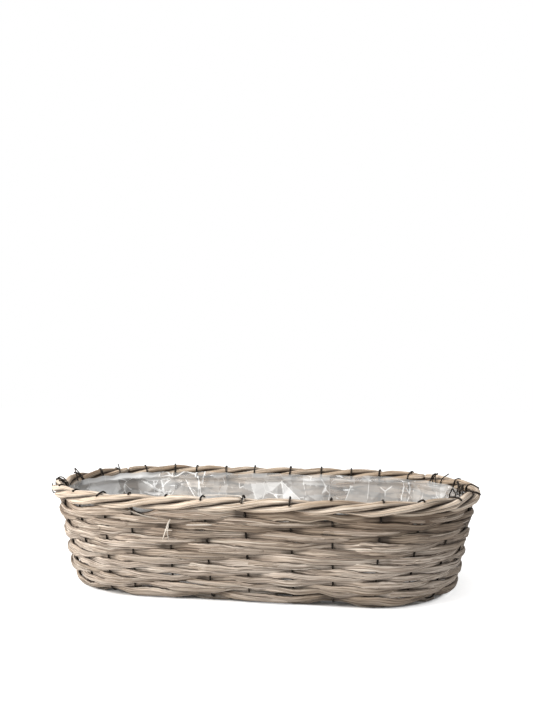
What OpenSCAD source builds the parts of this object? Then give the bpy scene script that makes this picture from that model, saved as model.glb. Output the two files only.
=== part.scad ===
// Oval planter trough of split willow on a wire frame, with a roped rim and a film liner.
// Millimetres. The origin is the middle of the underside, +X runs along the length,
// -Y is the front and +Z is up.

/* [Basket] */
// Overall length, over the rim
basket_l = 500; // [440:10:600]
// Overall width, over the rim
basket_w = 262; // [220:2:300]
// Height from the ground to the top of the rim rods
basket_h = 116; // [95:1:150]
// How far the wall leans out from the ground to the rim
wall_lean = 15; // [4:0.5:16]
// How far the middle of the rim stands outside the stakes
rim_overhang = 1; // [1:0.5:4]
// Height left open between the top row of weaving and the rim
rim_gap = 3.5; // [3:0.5:6]

/* [Frame wires] */
// Diameter of the wire
wire_d = 2; // [1.6:0.1:2.4]
// Stakes round the wall, two to a wire
stake_count = 30; // [18:12:42]
// How far the first front stake stands from the middle, in stake spacings
stake_shift = 0.4; // [0:0.01:0.4]
// Bend where a wire turns up from the base, to its centre line
foot_bend_r = 10; // [8:0.5:12]
// Bend where a wire turns within the base
floor_bend_r = 8; // [6:0.5:9]
// Bend where a stake turns in under the rim
jog_bend_r = 3; // [2.5:0.1:3.5]
// Straight run of a crossing wire before it turns in the base
cross_run = 7; // [6:0.5:12]
// Straight run of a hairpin wire before it turns in the base
hairpin_run = 11; // [10:0.5:14]
// Where the hook over the rim ends, in degrees above level on the outside
hook_end = 60; // [30:5:90]
// Straight tail at the end of the hook
hook_tail = 1.5; // [1:0.1:3]

/* [Woven strips] */
// Width of a wall strip
strip_w = 6.4; // [5:0.1:9]
// Thickness of every strip at its middle
strip_t = 2.2; // [1.6:0.1:3]
// Thickness of a wall strip at its edges
strip_edge_t = 1.2; // [0.8:0.1:1.6]
// Width of a base strip
base_strip_w = 11.9; // [9:0.1:16]
// Least gap between neighbouring strips
strip_gap = 0.25; // [0.2:0.05:0.6]
// Gap where the two ends of a strip or rod meet
end_gap = 0.8; // [0.5:0.1:2]
// How far down the foot bend the lowest row curls, in degrees from level
lowest_curl = 60; // [40:1:60]

/* [Rim] */
// Diameter of a rim rod
rod_d = 7; // [5:0.1:9]
// Gap between the rods
rod_gap = 0.4; // [0.3:0.05:0.8]
// Turns that each rod makes round the others on its way round the rim
rim_turns = 8; // [6:1:10]

/* [Liner] */
// Thickness drawn for the film
liner_t = 0.4; // [0.3:0.1:0.8]
// How far the top edge of the film lies below the top row of weaving
liner_drop = 1; // [0.5:0.5:10]

/* [Fit] */
// Clearance between a wire and the willow round it, and round the liner
clearance = 0.3; // [0.25:0.05:0.5]

/* [Hidden] */
$fn = 24;
wire_r = wire_d / 2;

// The rim: three rods round one centre line, inside the overall size
rod_count = 3;
lay_r = (rod_d + rod_gap) / sqrt(3);
bundle_r = lay_r + rod_d / 2;
rim_r = basket_w / 2 - bundle_r;
rim_z = basket_h - bundle_r;
half_straight = (basket_l - basket_w) / 2;
perimeter = 4 * half_straight + 2 * PI * rim_r;
stake_pitch = perimeter / stake_count;

// The wall in cross section: a straight leaning line that ends in the foot bend
lean = atan(wall_lean / rim_z);
stake_top_r = rim_r - rim_overhang;
floor_wire_z = strip_t + clearance + wire_r;
foot_centre_z = floor_wire_z + foot_bend_r;
foot_centre_r = stake_top_r - ((rim_z - foot_centre_z) * sin(lean) + foot_bend_r) / cos(lean);
foot_r = stake_top_r - (rim_z - floor_wire_z) * tan(lean);
foot_arc = foot_bend_r * (90 - lean) * PI / 180;
foot_arc_z = foot_centre_z - foot_bend_r * sin(lean);

// Rows of the wall, measured up the cross section
wall_top_z = rim_z - bundle_r - rim_gap;
wall_low = foot_bend_r * (90 - lowest_curl) * PI / 180;
wall_high = foot_arc + (wall_top_z - foot_arc_z) / cos(lean);
row_count = floor((wall_high - wall_low) / (strip_w + strip_gap));
row_pitch = (wall_high - wall_low) / row_count;
front_offset = wire_r + clearance;
back_offset = -wire_r - clearance - strip_t;

// The hook over the rim, and the corner where a stake turns in towards it
hook_r = bundle_r + clearance + wire_r;
jog_z = wall_top_z + jog_bend_r / 2;
jog_point = [stake_top_r - (rim_z - jog_z) * tan(lean), jog_z];
jog_to_rim = [rim_r, rim_z] - jog_point;
jog_reach = norm(jog_to_rim);
jog_heading = atan2(jog_to_rim[1], jog_to_rim[0]) + asin(hook_r / jog_reach);
hook_start = jog_heading + 90;
hook_point = [rim_r, rim_z] + hook_r * [cos(hook_start), sin(hook_start)];

// A bend is drawn a hair thinner than the wire, and the straights lap into it
bend_thin = 0.02;
bend_lap = 0.2;

// Wires that cross the base, and hairpins that carry the stakes of the round ends
hairpin_count = 4;
cross_count = stake_count / 2 - hairpin_count;
cross_reach = (cross_count - 1) / 2;

// The base: strips side by side along the length, inside the foot bends
base_r = foot_centre_r - clearance;
base_top_z = floor_wire_z + wire_r + clearance + strip_t;
base_count = floor(2 * base_r / (base_strip_w + strip_gap));
base_pitch = 2 * base_r / base_count;
flat_reach = 9;

liner_offset = back_offset - clearance;
liner_top_z = wall_top_z - liner_drop;

// A whole number written with two digits
function two(j) = j < 10 ? str("0", j) : str(j);

// Remainder that is never negative
function wrap(value, step) = value - step * floor(value / step);

// Where the run round the basket lies at u stakes from the middle of the front:
// the point on the straight spine, and the heading of the outward normal
function spine_x(u) =
    let (c = wrap(u * stake_pitch, perimeter), turn = PI * rim_r, h = half_straight)
    c < h ? c :
    c < h + turn ? h :
    c < 3 * h + turn ? 2 * h + turn - c :
    c < 3 * h + 2 * turn ? -h : c - perimeter;
function outward(u) =
    let (c = wrap(u * stake_pitch, perimeter), turn = PI * rim_r, h = half_straight)
    c < h ? -90 :
    c < h + turn ? -90 + 180 * (c - h) / turn :
    c < 3 * h + turn ? 90 :
    c < 3 * h + 2 * turn ? 90 + 180 * (c - 3 * h - turn) / turn : 270;
function plan(u, r) = [spine_x(u) + r * cos(outward(u)), r * sin(outward(u))];
function place(u, section) = concat(plan(u, section[0]), [section[1]]);

// Radius and height at t up the wall's cross section, a distance off to its outside
function wall(t, off) =
    let (dip = t < foot_arc ? 90 - t / foot_bend_r * 180 / PI : lean, rise = max(0, t - foot_arc))
    [foot_centre_r + (foot_bend_r + off) * cos(dip) + rise * sin(lean),
     foot_centre_z - (foot_bend_r + off) * sin(dip) + rise * cos(lean)];

// Triangles round a tube of rings, with both ends closed
function tube_faces(rings, sides) = concat(
    [for (i = [0:rings - 2], j = [0:sides - 1], half = [0, 1])
        let (a = i * sides, b = a + sides, k = (j + 1) % sides)
        half == 0 ? [a + j, a + k, b + k] : [a + j, b + k, b + j]],
    [for (j = [1:sides - 2]) [0, j + 1, j]],
    [for (j = [1:sides - 2]) let (e = (rings - 1) * sides) [e, e + j, e + j + 1]]
);

// One straight or bend of wire in the XY plane; a straight laps into what it meets at each end
module straight(from, heading, length, laps) {
    translate([from[0], from[1], 0])
        rotate([0, 90, heading])
            translate([0, 0, -laps[0]])
                cylinder(h = length + laps[0] + laps[1], r = wire_r);
}
module bend(centre, r, first, sweep) {
    translate([centre[0], centre[1], 0])
        rotate_extrude(angle = sweep, start = first)
            translate([r, 0])
                circle(r = wire_r - bend_thin);
}

// Wire bent through points in the XY plane: bend radii go with the inner points
function heading(a, b) = atan2(b[1] - a[1], b[0] - a[0]);
function turn_at(p, i) =
    wrap(heading(p[i], p[i + 1]) - heading(p[i - 1], p[i]) + 180, 360) - 180;
function setback(p, radii, i) =
    i == 0 || i == len(p) - 1 ? 0 : radii[i - 1] * tan(abs(turn_at(p, i)) / 2);

// A slight bend is so short that its straights lap into a quarter of it each
function lap_at(p, radii, i) =
    i == 0 || i == len(p) - 1 ? bend_lap :
    min(bend_lap, radii[i - 1] * abs(turn_at(p, i)) * PI / 180 / 4);
module bent_wire(p, radii, first = 0) {
    for (i = [first:len(p) - 2]) {
        along = heading(p[i], p[i + 1]);
        skip = setback(p, radii, i);
        straight(
            p[i] + skip * [cos(along), sin(along)], along,
            norm(p[i + 1] - p[i]) - skip - setback(p, radii, i + 1),
            [lap_at(p, radii, i), lap_at(p, radii, i + 1)]
        );
    }
    for (i = [1:len(p) - 2]) {
        along = heading(p[i - 1], p[i]);
        turn = turn_at(p, i);
        side = sign(turn);
        centre = p[i] - setback(p, radii, i) * [cos(along), sin(along)]
            + side * radii[i - 1] * [-sin(along), cos(along)];
        bend(centre, radii[i - 1], along - 90 * side + min(0, turn), abs(turn));
    }
}

// A stake in its own upright plane: foot bend, leaning leg, turn under the rim and hook
module stake() {
    rotate([90, 0, 0]) {
        bent_wire(
            [[foot_centre_r, floor_wire_z], [foot_r, floor_wire_z], jog_point, hook_point],
            [foot_bend_r, jog_bend_r], 1
        );
        bend([rim_r, rim_z], hook_r, hook_end, hook_start - hook_end);
        straight(
            [rim_r, rim_z] + hook_r * [cos(hook_end), sin(hook_end)], hook_end - 90, hook_tail,
            [bend_lap, 0]
        );
    }
}

// Two stakes at u1 and u2 and the run that joins them in the base
function floor_path(u1, u2, run) = [
    plan(u1, foot_centre_r), plan(u1, foot_centre_r - run),
    plan(u2, foot_centre_r - run), plan(u2, foot_centre_r)
];
module frame_wire(u1, u2, run) {
    for (u = [u1, u2])
        translate([spine_x(u), 0, 0])
            rotate([0, 0, outward(u)])
                stake();
    translate([0, 0, floor_wire_z])
        bent_wire(floor_path(u1, u2, run), [floor_bend_r, floor_bend_r]);
}

// A crossing wire joins a front stake to the rear one that stands opposite
function cross_front(j) = j - 1 - cross_reach + stake_shift;
function cross_rear(j) = stake_count / 2 - (j - 1 - cross_reach) + stake_shift;
module cross_wire(j) {
    color("#4a4640")
        frame_wire(cross_front(j), cross_rear(j), cross_run);
}

// A hairpin joins two neighbouring stakes of a round end
module end_wire(j) {
    half = floor((j - 1) / 2) * stake_count / 2;
    first = half + cross_reach + 1 + 2 * ((j - 1) % 2) + stake_shift;
    color("#4a4640")
        frame_wire(first, first + 1, hairpin_run);
}

// A wall strip passes in front of two stakes and behind the third, one stake later each row up
function strip_side(k, row) = wrap(k + row, 3) == 0 ? -1 : 1;
function strip_offset(v, row) =
    let (side = (strip_side(floor(v), row) + strip_side(ceil(v), row)) / 2)
    (front_offset + back_offset) / 2 + side * (front_offset - back_offset) / 2;
function strip_section(v, row) =
    let (
        high = wall_high - row * row_pitch - (row_pitch - strip_w) / 2,
        low = high - strip_w,
        middle = (high + low) / 2,
        off = strip_offset(v, row),
        inner = low < foot_arc ? [low, middle, high] : [low, high]
    )
    concat(
        [for (t = inner) wall(t, off)],
        [wall(high, off + strip_edge_t), wall(middle, off + strip_t), wall(low, off + strip_edge_t)]
    );

// The ends of a row meet behind a stake, at another place in each row
function row_start(row) = 3 * wrap(7 * row, stake_count / 3) - row;
module wall_weaver(j) {
    row = j - 1;
    begin = row_start(row);
    end_share = end_gap / 2 / stake_pitch;
    steps = 2 * stake_count;
    rings = [for (i = [0:steps])
        let (
            v = begin + i / 2,
            nudge = i == 0 ? end_share : i == steps ? -end_share : 0
        )
        [for (q = strip_section(v, row)) place(v + stake_shift + nudge, q)]];
    color("#a39382")
        polyhedron(
            points = [for (ring = rings, q = ring) q],
            faces = tube_faces(len(rings), len(rings[0]))
        );
}

// Where a crossing wire lies along X at a given y in the base
function wire_x(j, y) =
    let (p = floor_path(cross_front(j), cross_rear(j), cross_run))
    lookup(y, [for (q = p) [q[1], q[0]]]);

// A base strip runs under one crossing wire and over the next, flat where it passes them
function base_level(j, i) = (j + i) % 2 == 0 ? 0 : base_top_z - strip_t;
function base_line(i, y, lift) = concat(
    [[-basket_l, base_level(1, i) + lift]],
    [for (j = [1:cross_count], e = [-1, 1])
        [wire_x(j, y) + e * flat_reach, base_level(j, i) + lift]],
    [[basket_l, base_level(cross_count, i) + lift]]
);
function backwards(list) = [for (i = [len(list) - 1:-1:0]) list[i]];
module base_outline() {
    square([2 * half_straight, 2 * base_r], center = true);
    for (side = [-1, 1])
        translate([side * half_straight, 0])
            circle(r = base_r);
}
module base_weaver(i) {
    y = -base_r + (i - 0.5) * base_pitch;
    color("#8f8273")
        intersection() {
            translate([0, y + base_strip_w / 2, 0])
                rotate([90, 0, 0])
                    linear_extrude(height = base_strip_w)
                        polygon(concat(base_line(i, y, 0), backwards(base_line(i, y, strip_t))));
            linear_extrude(height = base_top_z + 1)
                base_outline();
        }
}

// A rim rod winds round the centre line of the rim, a third of a turn from the next one
rod_sides = 6;
rod_rings = 12 * rim_turns;
module rim_rod(m) {
    begin = (m - 1) * stake_count / rod_count;
    end_share = end_gap / 2 / stake_pitch;
    rings = [for (i = [0:rod_rings])
        let (
            nudge = i == 0 ? end_share : i == rod_rings ? -end_share : 0,
            u = begin + i * stake_count / rod_rings + nudge,
            wind = 360 * rim_turns * u / stake_count + 360 * m / rod_count,
            centre = [rim_r, rim_z] + lay_r * [cos(wind), sin(wind)]
        )
        [for (s = [0:rod_sides - 1])
            let (a = -360 * (s + 0.5) / rod_sides)
            place(u, centre + rod_d / 2 * [cos(a), sin(a)])]];
    color("#b9a283")
        polyhedron(
            points = [for (ring = rings, q = ring) q],
            faces = tube_faces(len(rings), rod_sides)
        );
}

// Half the cross section of a tub that follows the inside of the wall, offset by off
corner_steps = 6;
function tub_edge(off, top) =
    let (
        r = foot_bend_r + off,
        foot = [foot_centre_r + r * cos(lean), foot_centre_z - r * sin(lean)]
    )
    concat(
        [for (s = [0:corner_steps])
            let (a = -90 + s * (90 - lean) / corner_steps)
            [foot_centre_r + r * cos(a), foot_centre_z + r * sin(a)]],
        [[foot[0] + (top - foot[1]) * tan(lean), top]]
    );
module tub(off, top) {
    edge = tub_edge(off, top);
    low = edge[0][1];
    for (side = [0, 1])
        rotate([0, 0, 180 * side])
            translate([half_straight, 0, 0])
                rotate_extrude(angle = 180, start = -90)
                    polygon(concat([[0, low]], edge, [[0, top]]));
    rotate([90, 0, 90])
        linear_extrude(height = 2 * half_straight, center = true)
            polygon(concat(edge, [for (q = backwards(edge)) [-q[0], q[1]]]));
}
module liner() {
    color("#dfe3e3", 0.35)
        difference() {
            tub(liner_offset, liner_top_z);
            tub(liner_offset - liner_t, liner_top_z + 1);
        }
}

for (j = [1:cross_count])
    cross_wire(j);
for (j = [1:hairpin_count])
    end_wire(j);
for (j = [1:row_count])
    wall_weaver(j);
for (j = [1:base_count])
    base_weaver(j);
for (j = [1:rod_count])
    rim_rod(j);
liner();
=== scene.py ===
"""Looks of an oval planter basket: split willow woven on wire, a roped rim and a clear film.

Shapes are worked out in millimetres with the CAD source's sizes, and scaled to metres when a mesh
is made. Place round the basket is counted in stakes: 0 is the middle of the front, and it grows
towards +X. Place up the wall is counted along its cross section, from the foot bend upwards.
"""

import sys

import logging
import math
from dataclasses import dataclass, field
from enum import Enum

import bpy
import numpy as np
from mathutils import Matrix, Vector


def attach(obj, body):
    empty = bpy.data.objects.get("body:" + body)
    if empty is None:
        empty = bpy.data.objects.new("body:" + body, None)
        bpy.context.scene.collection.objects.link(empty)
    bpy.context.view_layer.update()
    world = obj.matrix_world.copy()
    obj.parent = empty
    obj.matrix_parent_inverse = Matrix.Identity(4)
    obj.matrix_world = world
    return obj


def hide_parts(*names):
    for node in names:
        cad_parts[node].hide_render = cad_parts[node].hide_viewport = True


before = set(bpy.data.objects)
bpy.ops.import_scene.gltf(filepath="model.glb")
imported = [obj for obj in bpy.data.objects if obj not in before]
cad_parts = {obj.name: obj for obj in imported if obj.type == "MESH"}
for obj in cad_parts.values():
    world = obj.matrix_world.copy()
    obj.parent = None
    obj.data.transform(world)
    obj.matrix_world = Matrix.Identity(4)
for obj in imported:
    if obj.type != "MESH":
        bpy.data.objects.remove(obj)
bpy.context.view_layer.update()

MM = 0.001
TAU = 2 * math.pi
Array = np.ndarray
Pair = tuple[float, float]
Point = tuple[float, float, float]
Tree = bpy.types.NodeTree
Socket = bpy.types.NodeSocket
log = logging.getLogger("basket")


def linear(code: str) -> tuple[float, float, float, float]:
    """Turns an sRGB hex colour into linear light.

    Args:
        code: Six hex digits after a #.

    Returns:
        Red, green, blue and alpha, as shader sockets want them.
    """
    shares = [int(code[i:i + 2], 16) / 255 for i in (1, 3, 5)]
    red, green, blue = (s / 12.92 if s <= 0.04045 else ((s + 0.055) / 1.055) ** 2.4 for s in shares)
    return red, green, blue, 1.0


def ripple(turn: Array, rng: np.random.Generator, low: int, high: int, waves: int = 9) -> Array:
    """Smooth noise of unit spread that closes on itself after one turn.

    It is a sum of sines, each with a whole number of waves to the turn and a random phase.

    Args:
        turn: Place on the way round, from 0 to 1.
        rng: Source of the random draws.
        low: Fewest waves to a turn.
        high: Most waves to a turn.
        waves: How many sines are added.

    Returns:
        Noise with the shape of turn.
    """
    count = rng.integers(low, high + 1, waves)
    phase = rng.uniform(0, TAU, waves)
    return np.sin(TAU * np.asarray(turn)[..., None] * count + phase).sum(-1) / math.sqrt(waves / 2)


def smooth_step(x: Array) -> Array:
    """Eases from 0 to 1 as x does, with level ends."""
    x = np.clip(x, 0, 1)
    return x * x * (3 - 2 * x)


@dataclass(frozen=True)
class Form:
    """Sizes that the CAD source names, in millimetres, and the curves that follow from them."""

    length: float = 500.0
    width: float = 262.0
    height: float = 116.0
    wall_lean: float = 15.0
    rim_overhang: float = 1.0
    rim_gap: float = 3.5
    wire_d: float = 2.0
    stakes: int = 30
    stake_shift: float = 0.4
    foot_bend: float = 10.0
    cross_run: float = 7.0
    hairpin_run: float = 11.0
    hook_end: float = math.radians(60)
    strip_w: float = 6.4
    strip_t: float = 2.2
    strip_edge: float = 1.2
    strip_gap: float = 0.25
    base_strip_w: float = 11.9
    lowest_curl: float = math.radians(30)
    rod_d: float = 7.0
    rod_gap: float = 0.4
    rim_turns: int = 8
    clearance: float = 0.3
    hairpins: int = 4
    # How far each stake stands from its even place, read from the photo, in millimetres towards the
    # next stake, at the top and at the foot of the wall: from the middle of the front round the
    # basket.
    high_drift: tuple[float, ...] = (
        -15, -11, -11, -5, -5, -3, 3, 6, 8, 12, 6, 6, 3, 2, 3,
        10, 8, 9, -1, -1, -1, -15, -15, -2, 8, 5, 1, -9, -11, -15,
    )
    low_drift: tuple[float, ...] = (
        -12, -7, -8, -6, -9, -8, -6, 0, 3, 4, 2, 2, 1, 0, 1,
        3, 3, 3, 0, 0, 0, -4, -4, 2, 12, 5, -5, -13, -11, -11,
    )
    # How far the middle of each row lies above its even place, read the same way, from the top.
    row_lift: tuple[float, ...] = (
        1.8, 3.0, 3.6, 2.6, 0.9, 0.2, -0.9, -1.3, -1.0, 0.1, 0.5, 1.6, 2.6, 0.8,
    )
    # How far each end of a row or a rod stands back from where its two ends meet.
    butt_gap: float = 0.4

    @property
    def wire_r(self) -> float:
        """Radius of the frame wire."""
        return self.wire_d / 2

    @property
    def lay_r(self) -> float:
        """Distance of each rim rod from the middle of the rope."""
        return (self.rod_d + self.rod_gap) / math.sqrt(3)

    @property
    def bundle_r(self) -> float:
        """Radius round the whole rope."""
        return self.lay_r + self.rod_d / 2

    @property
    def rim_r(self) -> float:
        """Distance of the rope's middle from the spine."""
        return self.width / 2 - self.bundle_r

    @property
    def rim_z(self) -> float:
        """Height of the rope's middle."""
        return self.height - self.bundle_r

    @property
    def half_straight(self) -> float:
        """Half the straight run between the round ends."""
        return (self.length - self.width) / 2

    @property
    def perimeter(self) -> float:
        """Way round the rim, along the rope's middle."""
        return 4 * self.half_straight + TAU * self.rim_r

    @property
    def pitch(self) -> float:
        """Spacing of the stakes along the rim."""
        return self.perimeter / self.stakes

    @property
    def lean(self) -> float:
        """Angle of the wall from upright."""
        return math.atan(self.wall_lean / self.rim_z)

    @property
    def floor_z(self) -> float:
        """Height of the wires that cross the base."""
        return self.strip_t + self.clearance + self.wire_r

    @property
    def foot_z(self) -> float:
        """Height of the centre of the foot bend."""
        return self.floor_z + self.foot_bend

    @property
    def foot_r(self) -> float:
        """Distance of the centre of the foot bend from the spine."""
        top = self.rim_r - self.rim_overhang
        drop = (self.rim_z - self.foot_z) * math.sin(self.lean) + self.foot_bend
        return top - drop / math.cos(self.lean)

    @property
    def foot_arc(self) -> float:
        """Length of the foot bend."""
        return self.foot_bend * (math.pi / 2 - self.lean)

    @property
    def wall_top_z(self) -> float:
        """Height where the top row of weaving ends."""
        return self.rim_z - self.bundle_r - self.rim_gap

    @property
    def wall_low(self) -> float:
        """Place up the cross section where the lowest row starts."""
        return self.foot_bend * self.lowest_curl

    @property
    def wall_high(self) -> float:
        """Place up the cross section where the top row ends."""
        bend_top = self.foot_z - self.foot_bend * math.sin(self.lean)
        return self.foot_arc + (self.wall_top_z - bend_top) / math.cos(self.lean)

    @property
    def rows(self) -> int:
        """Number of rows in the wall."""
        return int((self.wall_high - self.wall_low) / (self.strip_w + self.strip_gap))

    @property
    def row_pitch(self) -> float:
        """Spacing of the rows."""
        return (self.wall_high - self.wall_low) / self.rows

    @property
    def front_offset(self) -> float:
        """Where the inner face of a strip lies when it passes in front of a stake."""
        return self.wire_r + self.clearance

    @property
    def back_offset(self) -> float:
        """Where the inner face of a strip lies when it passes behind a stake."""
        return -self.wire_r - self.clearance - self.strip_t

    @property
    def base_r(self) -> float:
        """Distance of the edge of the base from the spine."""
        return self.foot_r - self.clearance

    @property
    def base_top_z(self) -> float:
        """Height of the upper side of the base weave."""
        return self.floor_z + self.wire_r + self.clearance + self.strip_t

    @property
    def base_count(self) -> int:
        """Number of strips in the base."""
        return int(2 * self.base_r / (self.base_strip_w + self.strip_gap))

    @property
    def crossings(self) -> int:
        """Number of wires that cross the base."""
        return self.stakes // 2 - self.hairpins

    def spine(self, u: Array) -> tuple[Array, Array]:
        """Follows the run round the basket.

        The run is a straight front, a half circle, a straight rear and a half circle.

        Args:
            u: Place round the basket, in stakes.

        Returns:
            The point on the straight spine, and the heading of the outward normal.
        """
        half, bend = self.half_straight, math.pi * self.rim_r
        c = np.mod(np.asarray(u, float) * self.pitch, self.perimeter)
        parts = [c < half, c < half + bend, c < 3 * half + bend, c < 3 * half + 2 * bend]
        runs = [c, half + 0 * c, 2 * half + bend - c, -half + 0 * c]
        x = np.select(parts, runs, c - self.perimeter)
        quarter = math.pi / 2
        angle = np.select(
            parts,
            [
                -quarter + 0 * c,
                -quarter + math.pi * (c - half) / bend,
                quarter + 0 * c,
                quarter + math.pi * (c - 3 * half - bend) / bend,
            ],
            3 * quarter,
        )
        return x, angle

    def place(self, u: Array, r: Array, z: Array) -> Array:
        """Puts a point of a cross section in the basket's frame.

        Args:
            u: Place round the basket, in stakes.
            r: Distance outwards from the spine.
            z: Height.

        Returns:
            Points, with x, y and z last.
        """
        x, angle = self.spine(u)
        x, r, angle, z = np.broadcast_arrays(x, r, angle, z)
        return np.stack([x + r * np.cos(angle), r * np.sin(angle), z], -1)

    def wall(self, t: Array, off: Array) -> tuple[Array, Array]:
        """Follows the wall's cross section: the foot bend, then a straight leaning line.

        Args:
            t: Place up the cross section.
            off: Distance to the outside of the stakes' middle.

        Returns:
            Distance outwards from the spine, and height.
        """
        t, off = np.broadcast_arrays(np.asarray(t, float), np.asarray(off, float))
        dip = np.where(t < self.foot_arc, math.pi / 2 - t / self.foot_bend, self.lean)
        rise = np.maximum(0, t - self.foot_arc)
        r = self.foot_r + (self.foot_bend + off) * np.cos(dip) + rise * math.sin(self.lean)
        z = self.foot_z - (self.foot_bend + off) * np.sin(dip) + rise * math.cos(self.lean)
        return r, z

    def stake_place(self, v: Array, t: Array) -> Array:
        """Where the v-th stake stands, with the drift that a hand-set frame has.

        The drift runs straight from one stake to the next, and shrinks down the wall.

        Args:
            v: Number of the stake, whole at a stake.
            t: Place up the wall's cross section.

        Returns:
            Place round the basket, in stakes.
        """
        v = np.asarray(v, float)
        low = np.floor(v).astype(int)
        share = v - low
        rise = np.clip(np.asarray(t, float) / self.wall_high, 0, 1.1)
        top, foot = (
            np.array(drift)[low % self.stakes] * (1 - share)
            + np.array(drift)[(low + 1) % self.stakes] * share
            for drift in (self.high_drift, self.low_drift)
        )
        return v + self.stake_shift + (foot + (top - foot) * rise) / self.pitch

    def row_middle(self, row: int) -> float:
        """Place up the wall of the middle of a row: even steps, and the row's own lift."""
        lift = self.row_lift[row] if row < len(self.row_lift) else 0.0
        return self.wall_high - (row + 0.5) * self.row_pitch + lift

    def row_share(self, row: int) -> float:
        """Room that a row has between its neighbours, as a share of the even spacing."""
        upper, lower = max(row - 1, 0), min(row, self.rows - 2)
        above = self.row_middle(upper) - self.row_middle(upper + 1)
        below = self.row_middle(lower) - self.row_middle(lower + 1)
        return (above + below) / 2 / self.row_pitch


@dataclass
class Surface:
    """A grid of points, ring by ring, that becomes faces.

    Attributes:
        points: Rings by sides by xyz, in millimetres.
        along: Place of each ring for the pattern, in millimetres.
        across: Place of each side for the pattern, with one more at the end where rings close.
        rings_close: Whether each ring is closed on itself.
        run_closes: Whether the last ring joins the first.
        marks: Values at each point, by name, for the materials.
    """

    points: Array
    along: Array
    across: Array
    rings_close: bool = True
    run_closes: bool = False
    marks: dict[str, Array] = field(default_factory=dict)

    def corners(self) -> tuple[Array, Array]:
        """Lists the corners of the grid's four-sided faces, as whole arrays.

        Returns:
            The point at each corner, and the corner's place in the pattern.
        """
        rings, sides = self.points.shape[:2]
        i, j = np.meshgrid(
            np.arange(rings if self.run_closes else rings - 1),
            np.arange(sides if self.rings_close else sides - 1),
            indexing="ij",
        )
        i4 = np.stack([i, i, i + 1, i + 1], -1).reshape(-1)
        j4 = np.stack([j, j + 1, j + 1, j], -1).reshape(-1)
        vertex = (i4 % rings) * sides + j4 % sides
        return vertex, np.stack([self.along[i4], self.across[j4]], -1)


def make_piece(name: str, surfaces: list[Surface]) -> bpy.types.Object:
    """Makes one object from grids of points, with its pattern places in metres as the UV map.

    Open tubes get flat caps, and all faces are shaded smooth. The object stays at the origin, with
    its place in its mesh.

    Args:
        name: Name of the object.
        surfaces: The grids.

    Returns:
        The new object.
    """
    points, corners, places, starts = [], [], [], []
    marks: dict[str, list[Array]] = {key: [] for key in surfaces[0].marks}
    base, loops = 0, 0
    for surface in surfaces:
        rings, sides = surface.points.shape[:2]
        vertex, uv = surface.corners()
        sets = [(vertex, uv, 4)]
        if surface.rings_close and not surface.run_closes:
            first, last = np.arange(sides)[::-1], (rings - 1) * sides + np.arange(sides)
            for ring, at in ((first, surface.along[0]), (last, surface.along[-1])):
                across = surface.across[ring % sides]
                sets.append((ring, np.stack([0 * across + at, across], -1), sides))
        for vertex, uv, size in sets:
            corners.append(vertex + base)
            places.append(uv)
            starts.append(loops + np.arange(0, len(vertex), size))
            loops += len(vertex)
        points.append(surface.points.reshape(-1, 3))
        for key, values in marks.items():
            values.append(np.broadcast_to(surface.marks[key], (rings, sides)).reshape(-1))
        base += rings * sides
    vertex = np.concatenate(corners).astype(np.int32)
    starts = np.concatenate(starts).astype(np.int32)
    mesh = bpy.data.meshes.new(name)
    mesh.vertices.add(base)
    mesh.vertices.foreach_set("co", (np.concatenate(points) * MM).astype(np.float32).ravel())
    mesh.loops.add(len(vertex))
    mesh.loops.foreach_set("vertex_index", vertex)
    mesh.polygons.add(len(starts))
    mesh.polygons.foreach_set("loop_start", starts)
    uv_map = mesh.uv_layers.new(name="UVMap")
    uv_map.data.foreach_set("uv", (np.concatenate(places) * MM).astype(np.float32).ravel())
    for key, values in marks.items():
        attribute = mesh.attributes.new(key, "FLOAT", "POINT")
        attribute.data.foreach_set("value", np.concatenate(values).astype(np.float32))
    mesh.update(calc_edges=True)
    mesh.validate()
    mesh.polygons.foreach_set("use_smooth", np.full(len(mesh.polygons), True))
    piece = bpy.data.objects.new(name, mesh)
    bpy.context.scene.collection.objects.link(piece)
    return piece


def unit(vectors: Array) -> Array:
    """Scales each vector to length 1."""
    return vectors / np.maximum(np.linalg.norm(vectors, axis=-1, keepdims=True), 1e-9)


def tube(path: Array, radius: Array | float, side: Array, sides: int) -> Surface:
    """Carries a round profile along a path.

    At each point the ring lies in the plane across the path; its first direction is the given side
    vector made square to the path, and the second is square to both.

    Args:
        path: Points along the middle.
        radius: Radius at each point, or one for all.
        side: A vector for each point that isn't along the path.
        sides: Points to a ring.

    Returns:
        The tube as a grid.
    """
    heading = unit(np.gradient(path, axis=0))
    side = unit(side - (side * heading).sum(-1, keepdims=True) * heading)
    other = np.cross(heading, side)
    a = TAU * np.arange(sides) / sides
    reach = np.asarray(radius, float).reshape(-1, 1)
    reach = np.broadcast_to(reach, (len(path), sides))[..., None]
    ring = np.cos(a)[None, :, None] * side[:, None] + np.sin(a)[None, :, None] * other[:, None]
    steps = np.linalg.norm(np.diff(path, axis=0), axis=-1)
    along = np.concatenate([[0], np.cumsum(steps)])
    across = TAU * float(np.mean(radius)) * np.arange(sides + 1) / sides
    return Surface(path[:, None] + reach * ring, along, across)


def resample(path: Array, step: float) -> Array:
    """Spaces points evenly along a path of straight lines.

    Args:
        path: Corners of the path.
        step: Wanted spacing.

    Returns:
        Points at equal steps from the first corner to the last.
    """
    reach = np.concatenate([[0], np.cumsum(np.linalg.norm(np.diff(path, axis=0), axis=-1))])
    at = np.linspace(0, reach[-1], max(3, int(reach[-1] / step) + 1))
    return np.stack([np.interp(at, reach, path[:, k]) for k in range(path.shape[1])], -1)


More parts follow.
